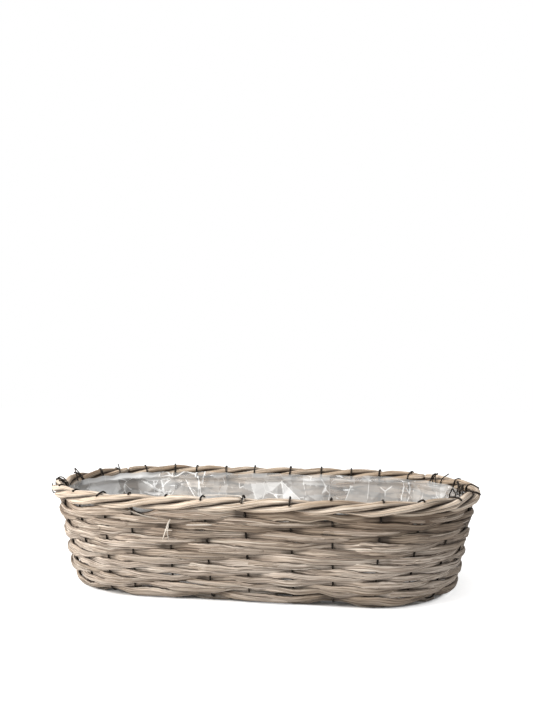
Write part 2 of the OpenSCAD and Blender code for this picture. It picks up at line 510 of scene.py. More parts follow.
def soften(path: Array, times: int) -> Array:
    """Rounds a path's corners: each point moves to the mean of itself and its two neighbours."""
    for _ in range(times):
        path = np.concatenate([path[:1], (path[:-2] + 2 * path[1:-1] + path[2:]) / 4, path[-1:]])
    return path


def curve_through(points: tuple[Point, ...]) -> Array:
    """Runs a smooth line close to a few given points: 0.8 mm steps, softened 12 times."""
    return soften(resample(np.array(points, float), 0.8), 12)


# ---------------------------------------------------------------------------------- materials


def add_node(
    tree: Tree,
    kind: str,
    settings: dict[str, object] | None = None,
    inputs: dict[str | int, object] | None = None,
) -> bpy.types.Node:
    """Adds a shader node.

    Args:
        tree: The material's node tree.
        kind: Type name of the node.
        settings: Properties of the node and their values.
        inputs: Sockets by name or number, each with a value or with the socket that feeds it.

    Returns:
        The node.
    """
    node = tree.nodes.new(kind)
    for key, value in (settings or {}).items():
        setattr(node, key, value)
    for key, value in (inputs or {}).items():
        if isinstance(value, Socket):
            tree.links.new(value, node.inputs[key])
        else:
            node.inputs[key].default_value = value
    return node


def blank(name: str) -> tuple[bpy.types.Material, Tree, bpy.types.Node]:
    """Makes an empty material with one Principled shader on its output.

    Args:
        name: Name of the material.

    Returns:
        The material, its node tree and its Principled node.
    """
    material = bpy.data.materials.new(name)
    material.use_nodes = True
    tree = material.node_tree
    tree.nodes.clear()
    shader = add_node(tree, "ShaderNodeBsdfPrincipled")
    add_node(tree, "ShaderNodeOutputMaterial", inputs={"Surface": shader.outputs[0]})
    return material, tree, shader


def mixed(
    tree: Tree, factor: object, first: object, second: object, how: str = "MIX"
) -> Socket:
    """Mixes two colours.

    Args:
        tree: The material's node tree.
        factor: Share of the second, as a value or a socket.
        first: Colour or socket.
        second: Colour or socket.
        how: Blend type.

    Returns:
        The mixed colour's socket.
    """
    node = add_node(
        tree,
        "ShaderNodeMix",
        {"data_type": "RGBA", "blend_type": how},
        {0: factor, 6: first, 7: second},
    )
    return node.outputs[2]


def ranged(
    tree: Tree, value: Socket, low: float, high: float, out_low: float = 0.0, out_high: float = 1.0
) -> Socket:
    """Maps a value from one range to another, held at its ends.

    Args:
        tree: The material's node tree.
        value: The socket to map.
        low: Value that gives out_low.
        high: Value that gives out_high.
        out_low: Result at low.
        out_high: Result at high.

    Returns:
        The mapped value's socket.
    """
    node = add_node(
        tree,
        "ShaderNodeMapRange",
        {"clamp": True},
        {"Value": value, "From Min": low, "From Max": high, "To Min": out_low, "To Max": out_high},
    )
    return node.outputs[0]


@dataclass(frozen=True)
class SplitWillow:
    """Split willow, weathered and grey-washed: matt, with fibres along the strip.

    The eye sees long pale and dark fibres, greyer where the wash stayed, browner where it wore off,
    thin dark cracks and pale streaks along the grain that are painted highlights. Painted shade
    darkens a strip where it dives behind a wire, along its edges and in other recesses.
    """

    name: str
    pale: str
    middle: str
    dark: str
    grey: str
    brown: str
    # Colour of the pale streaks along the grain that are painted highlights.
    bleached: str = "#efe6d9"
    crack: str = "#54463b"
    fibre_line: str = "#5f5246"
    # Colours of the painted shade: in dives, along edges and in crevices, and near black on flanges
    # hidden behind neighbours.
    shade_colour: str = "#382d26"
    deep_shade: str = "#2a211b"
    roughness: float = 0.78
    # Length and width of each kind of mark, in millimetres. The fibres are drawn as coarse as
    # they need to show.
    streak_mm: Pair = (110.0, 1.5)
    fibre_mm: Pair = (36.0, 0.6)
    patch_mm: Pair = (70.0, 6.0)
    painted_highlight_mm: Pair = (130.0, 1.5)
    crack_mm: Pair = (110.0, 0.9)
    bump_mm: float = 0.42
    # How strong the painted shade is where a strip dives behind a wire, along its edges and in
    # other recesses, and how dark the darkest strips are.
    shade_strength: float = 0.42
    dim: float = 0.56

    def grain(self, tree: Tree, uv: Socket, size: Pair, detail: float) -> Socket:
        """Noise stretched along the strip.

        Args:
            tree: The material's node tree.
            uv: The UV map's socket, in metres.
            size: Length and width of a cell, in millimetres.
            detail: Finer layers of the noise.

        Returns:
            The noise's socket, from 0 to 1.
        """
        inputs = {"Vector": uv, "Scale": (1 / (size[0] * MM), 1 / (size[1] * MM), 1.0)}
        scaled = add_node(tree, "ShaderNodeMapping", inputs=inputs).outputs[0]
        inputs = {"Vector": scaled, "Scale": 1.0, "Detail": detail, "Roughness": 0.6}
        return add_node(tree, "ShaderNodeTexNoise", inputs=inputs).outputs["Fac"]

    def build(self) -> bpy.types.Material:
        """Builds the material.

        Streaks, fibres, washed patches, pale lines that are painted highlights, and cracks are
        noise on the UV map, stretched along the strip. The values kept at each point say how pale
        the strip is, how much painted shade the place gets for lying deep, at an edge or in a
        crevice, and how far up the wall it is.

        Returns:
            The material.
        """
        material, tree, shader = blank(self.name)
        uv = add_node(tree, "ShaderNodeUVMap", {"uv_map": "UVMap"}).outputs[0]
        tone, painted_shade, high = (
            add_node(tree, "ShaderNodeAttribute", {"attribute_name": key}).outputs["Fac"]
            for key in ("tone", "painted_shade", "high")
        )
        streaks = self.grain(tree, uv, self.streak_mm, 3.0)
        fibres = self.grain(tree, uv, self.fibre_mm, 4.0)
        patches = self.grain(tree, uv, self.patch_mm, 2.0)
        painted_highlight = self.grain(tree, uv, self.painted_highlight_mm, 2.0)
        cracks = self.grain(tree, uv, self.crack_mm, 2.0)
        streaky = ranged(tree, streaks, 0.34, 0.54)
        base = mixed(tree, streaky, linear(self.dark), linear(self.middle))
        base = mixed(tree, ranged(tree, streaks, 0.5, 0.68), base, linear(self.pale))
        wash = mixed(tree, ranged(tree, high, 0.35, 0.95), linear(self.grey), linear(self.brown))
        base = mixed(tree, ranged(tree, patches, 0.4, 0.62, 0.08, 0.62), base, wash)
        # Painted highlights: pale streaks along the grain.
        base = mixed(tree, ranged(tree, painted_highlight, 0.56, 0.68, 0.0, 0.85), base, linear(self.bleached))
        between = ranged(tree, fibres, 0.39, 0.57)
        lines = mixed(tree, between, linear(self.fibre_line), linear("#ffffff"))
        base = mixed(tree, 0.75, base, lines, "MULTIPLY")
        base = mixed(tree, ranged(tree, cracks, 0.42, 0.37, 0.0, 0.9), base, linear(self.crack))
        # Low tone darkens and browns a strip; on the wall it carries the rim's painted shadow too.
        shade = (self.dim, self.dim * 0.93, self.dim * 0.84, 1.0)
        darker = ranged(tree, tone, 0.0, 0.75, 1.0, 0.0)
        base = mixed(tree, darker, base, mixed(tree, 1.0, base, shade, "MULTIPLY"))
        # Painted shade: darker where a place lies deep, along edges and in crevices, and near black
        # on hidden flanges.
        base = mixed(tree, ranged(tree, painted_shade, 0.2, 1.0, 0.0, self.shade_strength), base, linear(self.shade_colour))
        base = mixed(tree, ranged(tree, painted_shade, 1.1, 1.8, 0.0, 0.8), base, linear(self.deep_shade))
        tree.links.new(base, shader.inputs["Base Color"])
        height = add_node(tree, "ShaderNodeMath", {"operation": "ADD"}, {0: streaks, 1: fibres})
        inputs = {"Strength": 1.0, "Distance": self.bump_mm * MM, "Height": height.outputs[0]}
        bump = add_node(tree, "ShaderNodeBump", inputs=inputs)
        tree.links.new(bump.outputs[0], shader.inputs["Normal"])
        rough = ranged(tree, fibres, 0.3, 0.7, self.roughness + 0.08, self.roughness - 0.1)
        tree.links.new(rough, shader.inputs["Roughness"])
        return material


@dataclass(frozen=True)
class AnnealedWire:
    """Soft iron wire, annealed: near black, dull, with a faint grey bloom on its skin."""

    name: str = "annealed_iron_wire"
    skin: str = "#292420"
    bloom: str = "#7a7066"
    metallic: float = 0.85
    roughness: float = 0.48
    mottle_mm: float = 4.0
    bump_mm: float = 0.05

    def build(self) -> bpy.types.Material:
        """Builds the material: the bloom and the roughness follow one mottling, in space.

        Returns:
            The material.
        """
        material, tree, shader = blank(self.name)
        place = add_node(tree, "ShaderNodeTexCoord").outputs["Object"]
        inputs = {"Vector": place, "Scale": 1 / (self.mottle_mm * MM), "Detail": 3.0}
        mottle = add_node(tree, "ShaderNodeTexNoise", inputs=inputs).outputs["Fac"]
        colour = mixed(tree, ranged(tree, mottle, 0.52, 0.8), linear(self.skin), linear(self.bloom))
        tree.links.new(colour, shader.inputs["Base Color"])
        rough = ranged(tree, mottle, 0.3, 0.7, self.roughness - 0.08, self.roughness + 0.14)
        tree.links.new(rough, shader.inputs["Roughness"])
        shader.inputs["Metallic"].default_value = self.metallic
        inputs = {"Strength": 0.5, "Distance": self.bump_mm * MM, "Height": mottle}
        bump = add_node(tree, "ShaderNodeBump", inputs=inputs)
        tree.links.new(bump.outputs[0], shader.inputs["Normal"])
        return material


@dataclass(frozen=True)
class ClearFilm:
    """Thin polythene film, clear and crumpled: glossy, and white along its creases and on some
    facets, partly whitened film and partly painted highlights.
    """

    name: str = "clear_polythene_film"
    tint: str = "#f4f5f5"
    clear_alpha: float = 0.14
    milk_and_glint_alpha: float = 0.86
    crease_alpha: float = 0.95
    line_alpha: float = 0.9
    facet_alpha: float = 0.42
    # Width of the small facets and that width as a share of their height, how much of it a crease
    # line takes up, and the size of the wrinkles that only the gloss shows.
    facet_mm: float = 26.0
    facet_ratio: float = 0.72
    line_share: float = 0.055
    wrinkle_mm: float = 9.0
    bump_mm: float = 0.4
    roughness: float = 0.14
    ior: float = 1.51

    def build(self) -> bpy.types.Material:
        """Builds the material, whose alpha is the highest of four values at each point.

        Two are kept at the points of the sheet: its veil, from clear to milky, and its creases.
        Two come from a net of cells on the UV map: straight lines between the cells, broken off by
        noise, and a few milky cells. The white creases, lines and cells are partly whitened film
        and partly painted highlights.

        Returns:
            The material.
        """
        material, tree, shader = blank(self.name)
        veil, crease = (
            add_node(tree, "ShaderNodeAttribute", {"attribute_name": key}).outputs["Fac"]
            for key in ("veil", "crease")
        )
        uv = add_node(tree, "ShaderNodeUVMap", {"uv_map": "UVMap"}).outputs[0]
        soft = ranged(tree, veil, 0.0, 1.0, self.clear_alpha, self.milk_and_glint_alpha)
        sharp = ranged(tree, crease, 0.45, 1.0, 0.0, self.crease_alpha)
        cell = self.facet_mm * MM
        inputs = {"Vector": uv, "Scale": (1 / cell, self.facet_ratio / cell, 1.0)}
        scaled = add_node(tree, "ShaderNodeMapping", inputs=inputs).outputs[0]
        net = {"Vector": scaled, "Scale": 1.0}
        edges = add_node(tree, "ShaderNodeTexVoronoi", {"feature": "DISTANCE_TO_EDGE"}, net)
        cells = add_node(tree, "ShaderNodeTexVoronoi", inputs=net).outputs["Color"]
        patches = add_node(tree, "ShaderNodeTexNoise", inputs=net | {"Scale": 1.7, "Detail": 1.0})
        line = ranged(tree, edges.outputs["Distance"], 0.0, self.line_share, self.line_alpha, 0.0)
        kept = ranged(tree, patches.outputs["Fac"], 0.5, 0.58)
        line = add_node(tree, "ShaderNodeMath", {"operation": "MULTIPLY"}, {0: line, 1: kept})
        facet = ranged(tree, cells, 0.57, 0.69, 0.0, self.facet_alpha)
        alpha = soft
        for more in (sharp, line.outputs[0], facet):
            inputs = {0: alpha, 1: more}
            alpha = add_node(tree, "ShaderNodeMath", {"operation": "MAXIMUM"}, inputs).outputs[0]
        tree.links.new(alpha, shader.inputs["Alpha"])
        shader.inputs["Base Color"].default_value = linear(self.tint)
        shader.inputs["Roughness"].default_value = self.roughness
        shader.inputs["IOR"].default_value = self.ior
        inputs = {"Vector": uv, "Scale": 1 / (self.wrinkle_mm * MM), "Detail": 1.0}
        wrinkle = add_node(tree, "ShaderNodeTexNoise", inputs=inputs).outputs["Fac"]
        inputs = {"Strength": 0.35, "Distance": self.bump_mm * MM, "Height": wrinkle}
        bump = add_node(tree, "ShaderNodeBump", inputs=inputs)
        tree.links.new(bump.outputs[0], shader.inputs["Normal"])
        return material


class Slot(Enum):
    """Names of the material slots."""

    WIRE = "wire"
    WALL = "wall_strip"
    BASE = "base_strip"
    ROD = "rim_rod"
    FILM = "film"


def finish_piece(
    piece: bpy.types.Object, material: bpy.types.Material, nodes: tuple[str, ...] = ()
) -> bpy.types.Object:
    """Dresses a piece, lets it ride on the basket's one body and says what it stands for.

    Args:
        piece: The object.
        material: Its material.
        nodes: CAD nodes that it replaces.

    Returns:
        The object.
    """
    piece.data.materials.append(material)
    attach(piece, "root")
    if nodes:
        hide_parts(*nodes)
    stands_for = ", ".join(nodes) or "itself"
    log.info("%s: %d faces, stands for %s", piece.name, len(piece.data.polygons), stands_for)
    return piece


# ------------------------------------------------------------------------------------- pieces


@dataclass
class WallWeave:
    """The rows of split willow in the wall.

    A strip passes in front of two stakes and behind the third. Between them it swings in and out
    in one smooth wave, is widest where it bulges out and narrowest behind a stake, and sways and
    tips a little towards the hollow that its neighbour leaves. Where it lies behind its
    neighbours, its edges reach on behind them.
    """

    form: Form
    material: bpy.types.Material
    rings_per_stake: int = 24
    outer_points: int = 13
    inner_points: int = 9
    mean_width: float = 6.95
    width_swing: float = 0.6
    sway: float = 0.75
    tilt: float = math.radians(9)
    # How uneven a strip is: its width from row to row and along the row and its bulge, as shares,
    # and its way up the wall, its outward place and its furrows, in millimetres.
    row_spread: float = 0.05
    width_ripple: float = 0.08
    bulge_ripple: float = 0.1
    climb_ripple: float = 0.5
    outward_ripple: float = 0.12
    groove: float = 0.13
    # How far the edges reach on behind the neighbours, thin flanges beyond them, and how strong the
    # painted shade is along each strip's edges, between the rows.
    tuck_below: float = 2.4
    tuck_above: float = 1.5
    flange: float = 0.9
    edge_shade: float = 0.8
    # The top row is wider and lies higher than the others, and less so at an opening.
    top_wider: float = 5.2
    top_higher: float = 2.0
    open_narrower: float = 5.8
    open_lower: float = 4.4
    # Where the top row leaves the rim open: place and half the width of the opening, in stakes.
    openings: tuple[Pair, ...] = ((25.43, 0.5), (27.47, 0.42))
    # Where the two lowest rows lie higher and are narrower, in stakes, and by how much.
    raised: Pair = (0.6, 8.0)
    raised_higher: float = 2.4
    raised_narrower: float = 1.5
    # Narrow gaps under a row, read from the photo: row, place and half the length, in stakes, and
    # depth, in millimetres.
    gaps: tuple[tuple[int, float, float, float], ...] = (
        (11, 28.5, 0.4, 4.0), (12, 0.45, 0.7, 4.0), (12, 27.5, 0.4, 3.6), (12, 1.95, 0.3, 3.0),
        (0, 2.02, 0.3, 4.5), (0, 29.0, 0.3, 3.6), (7, 5.9, 0.2, 4.2), (5, 6.2, 0.25, 4.2),
        (2, 6.0, 0.25, 4.2), (13, 28.9, 0.4, 2.6), (13, 2.0, 0.45, 2.6),
    )
    splices: int = 6
    seed: int = 41

    def swing(self, p: Array) -> Array:
        """The in and out wave: -1 behind a stake, 1 in front of two, over three stakes."""
        return 1 / 3 - 1.125 * np.cos(TAU * p / 3) - 0.208 * np.cos(2 * TAU * p / 3)

    def tuck(self, p: Array) -> Array:
        """Share of its full reach that an edge has behind the neighbour that passes in front."""
        q = np.mod(p + 1.5, 3) - 1.5
        return smooth_step((q + 0.42) / 0.32) * smooth_step((0.93 - q) / 0.45)

    def row_start(self, row: int) -> int:
        """The stake behind which the two ends of a row meet."""
        return 3 * ((7 * row) % (self.form.stakes // 3)) - row

    def inner_face(self, p: Array) -> Array:
        """Where the inner face of a strip lies, off the stakes' middle."""
        form = self.form
        middle = (form.front_offset + form.back_offset) / 2
        return middle + (form.front_offset - form.back_offset) / 2 * self.swing(p)

    def tone(self, share: Array, rng: np.random.Generator, row: int, u: Array) -> Array:
        """Tone of a row, from 0, dark, to 1, pale.

        Each row is made of a few strips, so the tone steps every 350 mm or so. The upper rows are
        darker, most of all to the right of the front: partly browner willow, partly the rim's
        painted shadow. The lowest rows are darker too, apart from at the left end.

        Args:
            share: Place along the row, from 0 to 1.
            rng: Source of the random draws.
            row: Number of the row.
            u: Place round the basket, in stakes.

        Returns:
            The tone at each ring.
        """
        x, y = np.moveaxis(self.form.place(u, self.form.rim_r, 0.0)[..., :2], -1, 0)
        joints = np.sort(rng.uniform(0, 1, 3))
        steps = rng.uniform(-0.28, 0.28, 4)[np.searchsorted(joints, share)]
        # Darker upper rows: partly browner willow, partly the rim's painted shadow.
        upper = smooth_step((6.5 - row) / 5.5)
        right = smooth_step((x + 110) / 230) * smooth_step((60 - y) / 60)
        low = smooth_step((row - 9.0) / 4.0) * smooth_step((x + 160) / 120)
        tone = 0.7 + steps + 0.22 * ripple(share, rng, 2, 12, 5)
        return tone - upper * (0.18 + 0.7 * right) - 0.34 * low

    def row(self, row: int) -> Surface:
        """Works out one row as a flat crowned profile carried round the basket.

        Args:
            row: Number of the row, 0 at the top.

        Returns:
            The strip as a closed tube, open where its ends meet.
        """
        form = self.form
        rng = np.random.default_rng(self.seed + row)
        begin, steps = self.row_start(row), form.stakes * self.rings_per_stake
        share = np.linspace(0, 1, steps + 1)
        gap = form.butt_gap / form.perimeter
        v = begin + form.stakes * (gap + share * (1 - 2 * gap))
        p = np.mod(v + row, 3)
        wave = np.sin(TAU * p / 3)
        middle = form.row_middle(row) + self.sway * wave
        middle = middle + self.climb_ripple * ripple(share, rng, 8, 34)
        width = (self.mean_width - self.width_swing * np.cos(TAU * p / 3)) * form.row_share(row)
        width = width * (
            1 + rng.uniform(-1, 1) * self.row_spread + self.width_ripple * ripple(share, rng, 5, 24)
        )
        bulge = 1 + self.bulge_ripple * ripple(share, rng, 10, 34)
        inner = self.inner_face(p)
        uneven = self.outward_ripple * ripple(share, rng, 20, 60) * (inner > 0)
        inner = np.where(inner > 0, inner * bulge, inner) + uneven
        lean = self.tilt * wave * (1 + 0.5 * ripple(share, rng, 8, 30))
        above, below = self.tuck_above * self.tuck(-p), self.tuck_below * self.tuck(p)
        u = form.stake_place(v, middle)
        if row == 0:
            width, middle, lean = self.top_row(np.mod(u, form.stakes), width, middle, lean)
            above = 0 * above
        turned = np.mod(u, form.stakes)
        start, stop = self.raised
        raised = smooth_step((turned - start) / 1.6) * smooth_step((stop - turned) / 1.6)
        raised = raised * np.clip((row - form.rows + 3) / 2, 0, 1)
        middle, width = middle + self.raised_higher * raised, width - self.raised_narrower * raised
        for low_row, at, half, deep in self.gaps:
            away = np.mod(turned - at + form.stakes / 2, form.stakes) - form.stakes / 2
            pinch = deep * (low_row == row) * np.exp(-((away / half) ** 2))
            middle, width = middle + pinch / 2, width - pinch

        s_out = np.linspace(1, -1, self.outer_points)
        s_in = np.linspace(-0.93, 0.93, self.inner_points)
        s = np.concatenate([s_in, s_out])
        edge_t = 0.75 * form.strip_edge
        crown = edge_t + (form.strip_t - edge_t) * (1 - np.abs(s_out) ** 7) ** 0.6
        lift = np.concatenate([0 * s_in, crown])
        furrow = np.stack([ripple(share, rng, 5, 34, 7) for _ in s_out], -1)
        furrow = np.concatenate([np.zeros((len(share), len(s_in))), self.groove * furrow], -1)
        ragged = 1 + 0.03 * ripple(share, rng, 60, 200)[:, None] * (s > 0.6)
        ragged = ragged + 0.03 * ripple(share, rng, 60, 200)[:, None] * (s < -0.6)
        half = width[:, None] / 2 + np.where(s > 0, above[:, None], below[:, None])
        thin = np.concatenate([s_in, 0 * s_out])
        reach = s * ragged * half + self.flange * np.sign(thin) * (np.abs(thin) > 0.9)
        rise = lift + np.where(np.abs(s) < 0.95, furrow, 0)
        t = middle[:, None] + reach * np.cos(lean)[:, None] + rise * np.sin(lean)[:, None]
        off = inner[:, None] + rise * np.cos(lean)[:, None] - reach * np.sin(lean)[:, None]
        r, z = form.wall(t, off)
        points = form.place(u[:, None], r, z)
        across = form.strip_w / 2 * np.concatenate([s_in + 1, 3 - s_out, [4.1]])
        tone = self.tone(share, rng, row, u)
        # Painted shade where a strip dives behind a stake, stronger on darker strips, and along its
        # edges between the rows; on the inner side, painted shade behind the neighbours and near
        # black painted shade on the flanges.
        hollow = np.clip(0.35 + 0.5 * ripple(share, rng, 20, 60, 7) + 0.8 * (0.6 - tone), 0.05, 1.5)
        dive = smooth_step((-0.25 - self.swing(p)) / 0.6) * hollow
        painted_shade = dive[:, None] + self.edge_shade * smooth_step((np.abs(s) - 0.82) / 0.18)
        behind = 0.5 * smooth_step((self.swing(p) + 0.4) / 1.2)
        behind = behind[:, None] + 1.7 * (np.abs(thin) > 0.9)
        painted_shade = np.where(np.arange(len(s)) < len(s_in), behind, painted_shade)
        return Surface(
            points,
            share * form.perimeter + 1700 * row,
            across + 23.7 * row,
            marks={
                "tone": np.broadcast_to(np.clip(tone, 0, 1)[:, None], t.shape),
                "painted_shade": painted_shade,
                "high": np.clip(z / form.height, 0, 1),
            },
        )

    def top_row(
        self, u: Array, width: Array, middle: Array, lean: Array
    ) -> tuple[Array, Array, Array]:
        """Makes the top row wider and pushes it up under the rim, apart from a few openings.

        Args:
            u: Place round the basket at each ring, in stakes.
            width: Width at each ring.
            middle: Place of the middle of the strip up the wall.
            lean: Tilt at each ring.

        Returns:
            The new width, middle and tilt.
        """
        open_share = sum(np.exp(-(((u - at) / half) ** 2)) for at, half in self.openings)
        width = width + self.top_wider - self.open_narrower * open_share
        middle = middle + self.top_higher - self.open_lower * open_share
        return width, middle, lean * 0.6

    def splice(self, row: int, number: int) -> Surface:
        """Works out the end of a strip that lies over the next one, for the length of a front pass.

        It follows the row's outer face, and thins to a rounded point at both ends.

        Args:
            row: Number of the row.
            number: Number of the splice in the row.

        Returns:
            The splice as a closed tube.
        """
        form = self.form
        rng = np.random.default_rng(self.seed * 7 + row * 31 + number)
        turns = form.stakes // 3
        first = 3 * ((number * turns) // self.splices + rng.integers(0, 2)) - row
        start, stop = first + rng.uniform(0.35, 1.3), first + rng.uniform(1.7, 2.7)
        share = np.linspace(0, 1, 46)
        v = start + share * (stop - start)
        p = np.mod(v + row, 3)
        taper = np.sqrt(np.clip(1 - np.abs(2 * share - 1) ** 5, 0.03, 1))
        width = rng.uniform(0.45, 0.8) * self.mean_width * form.row_share(row) * taper
        middle = form.row_middle(row) + rng.uniform(-1.3, 1.3)
        middle = middle + rng.uniform(-0.9, 0.9) * (2 * share - 1)
        inner = self.inner_face(p) + form.strip_t - 0.55 + 0.5 * (1 - taper)
        s_out, s_in = np.linspace(1, -1, 9), np.linspace(-0.9, 0.9, 4)
        s = np.concatenate([s_in, s_out])
        thick = rng.uniform(0.9, 1.3) * (0.45 + 0.55 * taper)
        crown = np.concatenate([0 * s_in, 0.35 + 0.65 * (1 - np.abs(s_out) ** 2.4) ** 0.6])
        furrow = np.stack([ripple(share, rng, 1, 5, 5) for _ in s], -1) * 0.07 * (crown > 0.4)
        t = middle[:, None] + s * width[:, None] / 2
        r, z = form.wall(t, inner[:, None] + crown * thick[:, None] + furrow)
        u = form.stake_place(v, middle)
        across = form.strip_w / 2 * np.concatenate([s_in + 1, 3 - s_out, [4.1]])
        # Splices in the upper rows are darker, partly the rim's painted shadow; their edges get
        # painted shade.
        tone = 0.62 + rng.uniform(-0.3, 0.35) - 0.15 * smooth_step(np.array((6.0 - row) / 5.0))
        return Surface(
            form.place(u[:, None], r, z),
            share * 60 + 5000 + 90 * number + 1700 * row,
            across + 11.3 * number,
            marks={
                "tone": np.full(r.shape, float(np.clip(tone, 0, 1))),
                "painted_shade": np.broadcast_to(0.05 + 0.4 * smooth_step((np.abs(s) - 0.7) / 0.3), r.shape),
                "high": np.clip(z / form.height, 0, 1),
            },
        )

    def build(self) -> list[bpy.types.Object]:
        """Builds every row as a piece of its own.

        Returns:
            The pieces, from the top down.
        """
        return [
            finish_piece(
                make_piece(
                    f"willow_row_{row + 1:02d}",
                    [self.row(row)] + [self.splice(row, n) for n in range(self.splices)],
                ),
                self.material,
                (f"wall_weaver_{row + 1:02d}",),
            )
            for row in range(self.form.rows)
        ]


@dataclass
class BaseWeave:
    """The strips of the base, which run along its length, under one wire and over the next."""

    form: Form
    material: bpy.types.Material
    rings: int = 260
    flat_reach: float = 9.0
    overhang: float = 2.4
    seed: int = 7

    def wire_lines(self, y: Array) -> Array:
        """Where the crossing wires lie along X at the given y, by straight lines between corners.

        Args:
            y: Places across the base.

        Returns:
            One row for each y, with one value for each wire.
        """
        form = self.form
        reach = (form.crossings - 1) / 2
        lines = []
        for j in range(form.crossings):
            pair = (j - reach, form.stakes / 2 - (j - reach))
            ends = [float(form.stake_place(k, 0.0)) for k in pair]
            u = np.array([ends[0], ends[0], ends[1], ends[1]])
            r = form.foot_r - np.array([0, form.cross_run, form.cross_run, 0])
            path = form.place(u, r, 0 * r)
            lines.append(np.interp(y, path[:, 1], path[:, 0]))
        return np.stack(lines, -1)

    def strip(self, number: int) -> Surface:
        """Works out one strip of the base.

        Its ends follow the oval outline, a little out to the foot of the wall. Its height eases
        from one crossing wire's level to the next's, level for a few millimetres at each wire.

        Args:
            number: Number of the strip, 1 at the front.

        Returns:
            The strip as a closed tube.
        """
        form = self.form
        rng = np.random.default_rng(self.seed + number)
        pitch = 2 * form.base_r / form.base_count
        y0 = -form.base_r + (number - 0.5) * pitch
        s_out, s_in = np.linspace(-1, 1, 11), np.linspace(0.96, -0.96, 9)
        s = np.concatenate([s_out, s_in])
        half = form.base_strip_w / 2
        edge = form.base_r + self.overhang
        outer = 1 + self.overhang / half * (s * y0 > 0) * (abs(y0) > form.base_r - pitch)
        y = np.clip(y0 + s * half * outer, 0.2 - edge, edge - 0.2)
        end = form.half_straight + np.sqrt(edge**2 - y**2)
        share = np.linspace(0, 1, self.rings)
        x = (2 * share[:, None] - 1) * end
        wires = self.wire_lines(np.array([y0]))[0]
        place = np.interp(x, wires, np.arange(form.crossings))
        low = np.clip(np.floor(place).astype(int), 0, form.crossings - 2)
        flat = self.flat_reach / form.pitch
        ease = smooth_step((place - low - flat) / (1 - 2 * flat))
        step = form.base_top_z - form.strip_t
        level = np.where((low + 1 + number) % 2 == 0, 0.0, step)
        z = level + (step - 2 * level) * ease
        thick = 0.35 * form.strip_t + 0.65 * form.strip_t * (1 - np.abs(s) ** 4) ** 0.5
        upper = form.strip_t - thick * 0.18 * np.abs(s) ** 2
        lift = np.where(np.arange(len(s)) < len(s_out), upper, 0)
        furrow = np.stack([ripple(share, rng, 6, 40, 7) for _ in s], -1) * 0.08
        wander = 0.1 * ripple(share, rng, 20, 70)[:, None] * (np.abs(s) > 0.8)
        tone = np.clip(0.5 + 0.25 * ripple(share, rng, 1, 4, 4) + rng.uniform(-0.25, 0.25), 0, 1)
        height = z + np.where(lift > 0, lift - np.abs(furrow), np.abs(furrow))
        across = half * np.concatenate([s_out + 1, 3 - s_in, [4.1]])
        # The base gets painted shade all over, stronger at the strips' edges.
        return Surface(
            np.stack([x, np.broadcast_to(y, x.shape) + wander, height], -1),
            share * 2 * (form.half_straight + form.base_r) + 900 * number,
            across + 31.3 * number,
            marks={
                "tone": np.broadcast_to(tone[:, None], x.shape),
                "painted_shade": 0.25 + 0.35 * np.abs(s)[None] ** 4 + 0 * x,
                "high": 0.1 + 0 * x,
            },
        )

    def build(self) -> list[bpy.types.Object]:
        """Builds every strip of the base as a piece of its own.

        Returns:
            The pieces, from the front to the rear.
        """
        return [
            finish_piece(
                make_piece(f"willow_base_{i:02d}", [self.strip(i)]),
                self.material,
                (f"base_weaver_{i:02d}",),
            )
            for i in range(1, self.form.base_count + 1)
        ]


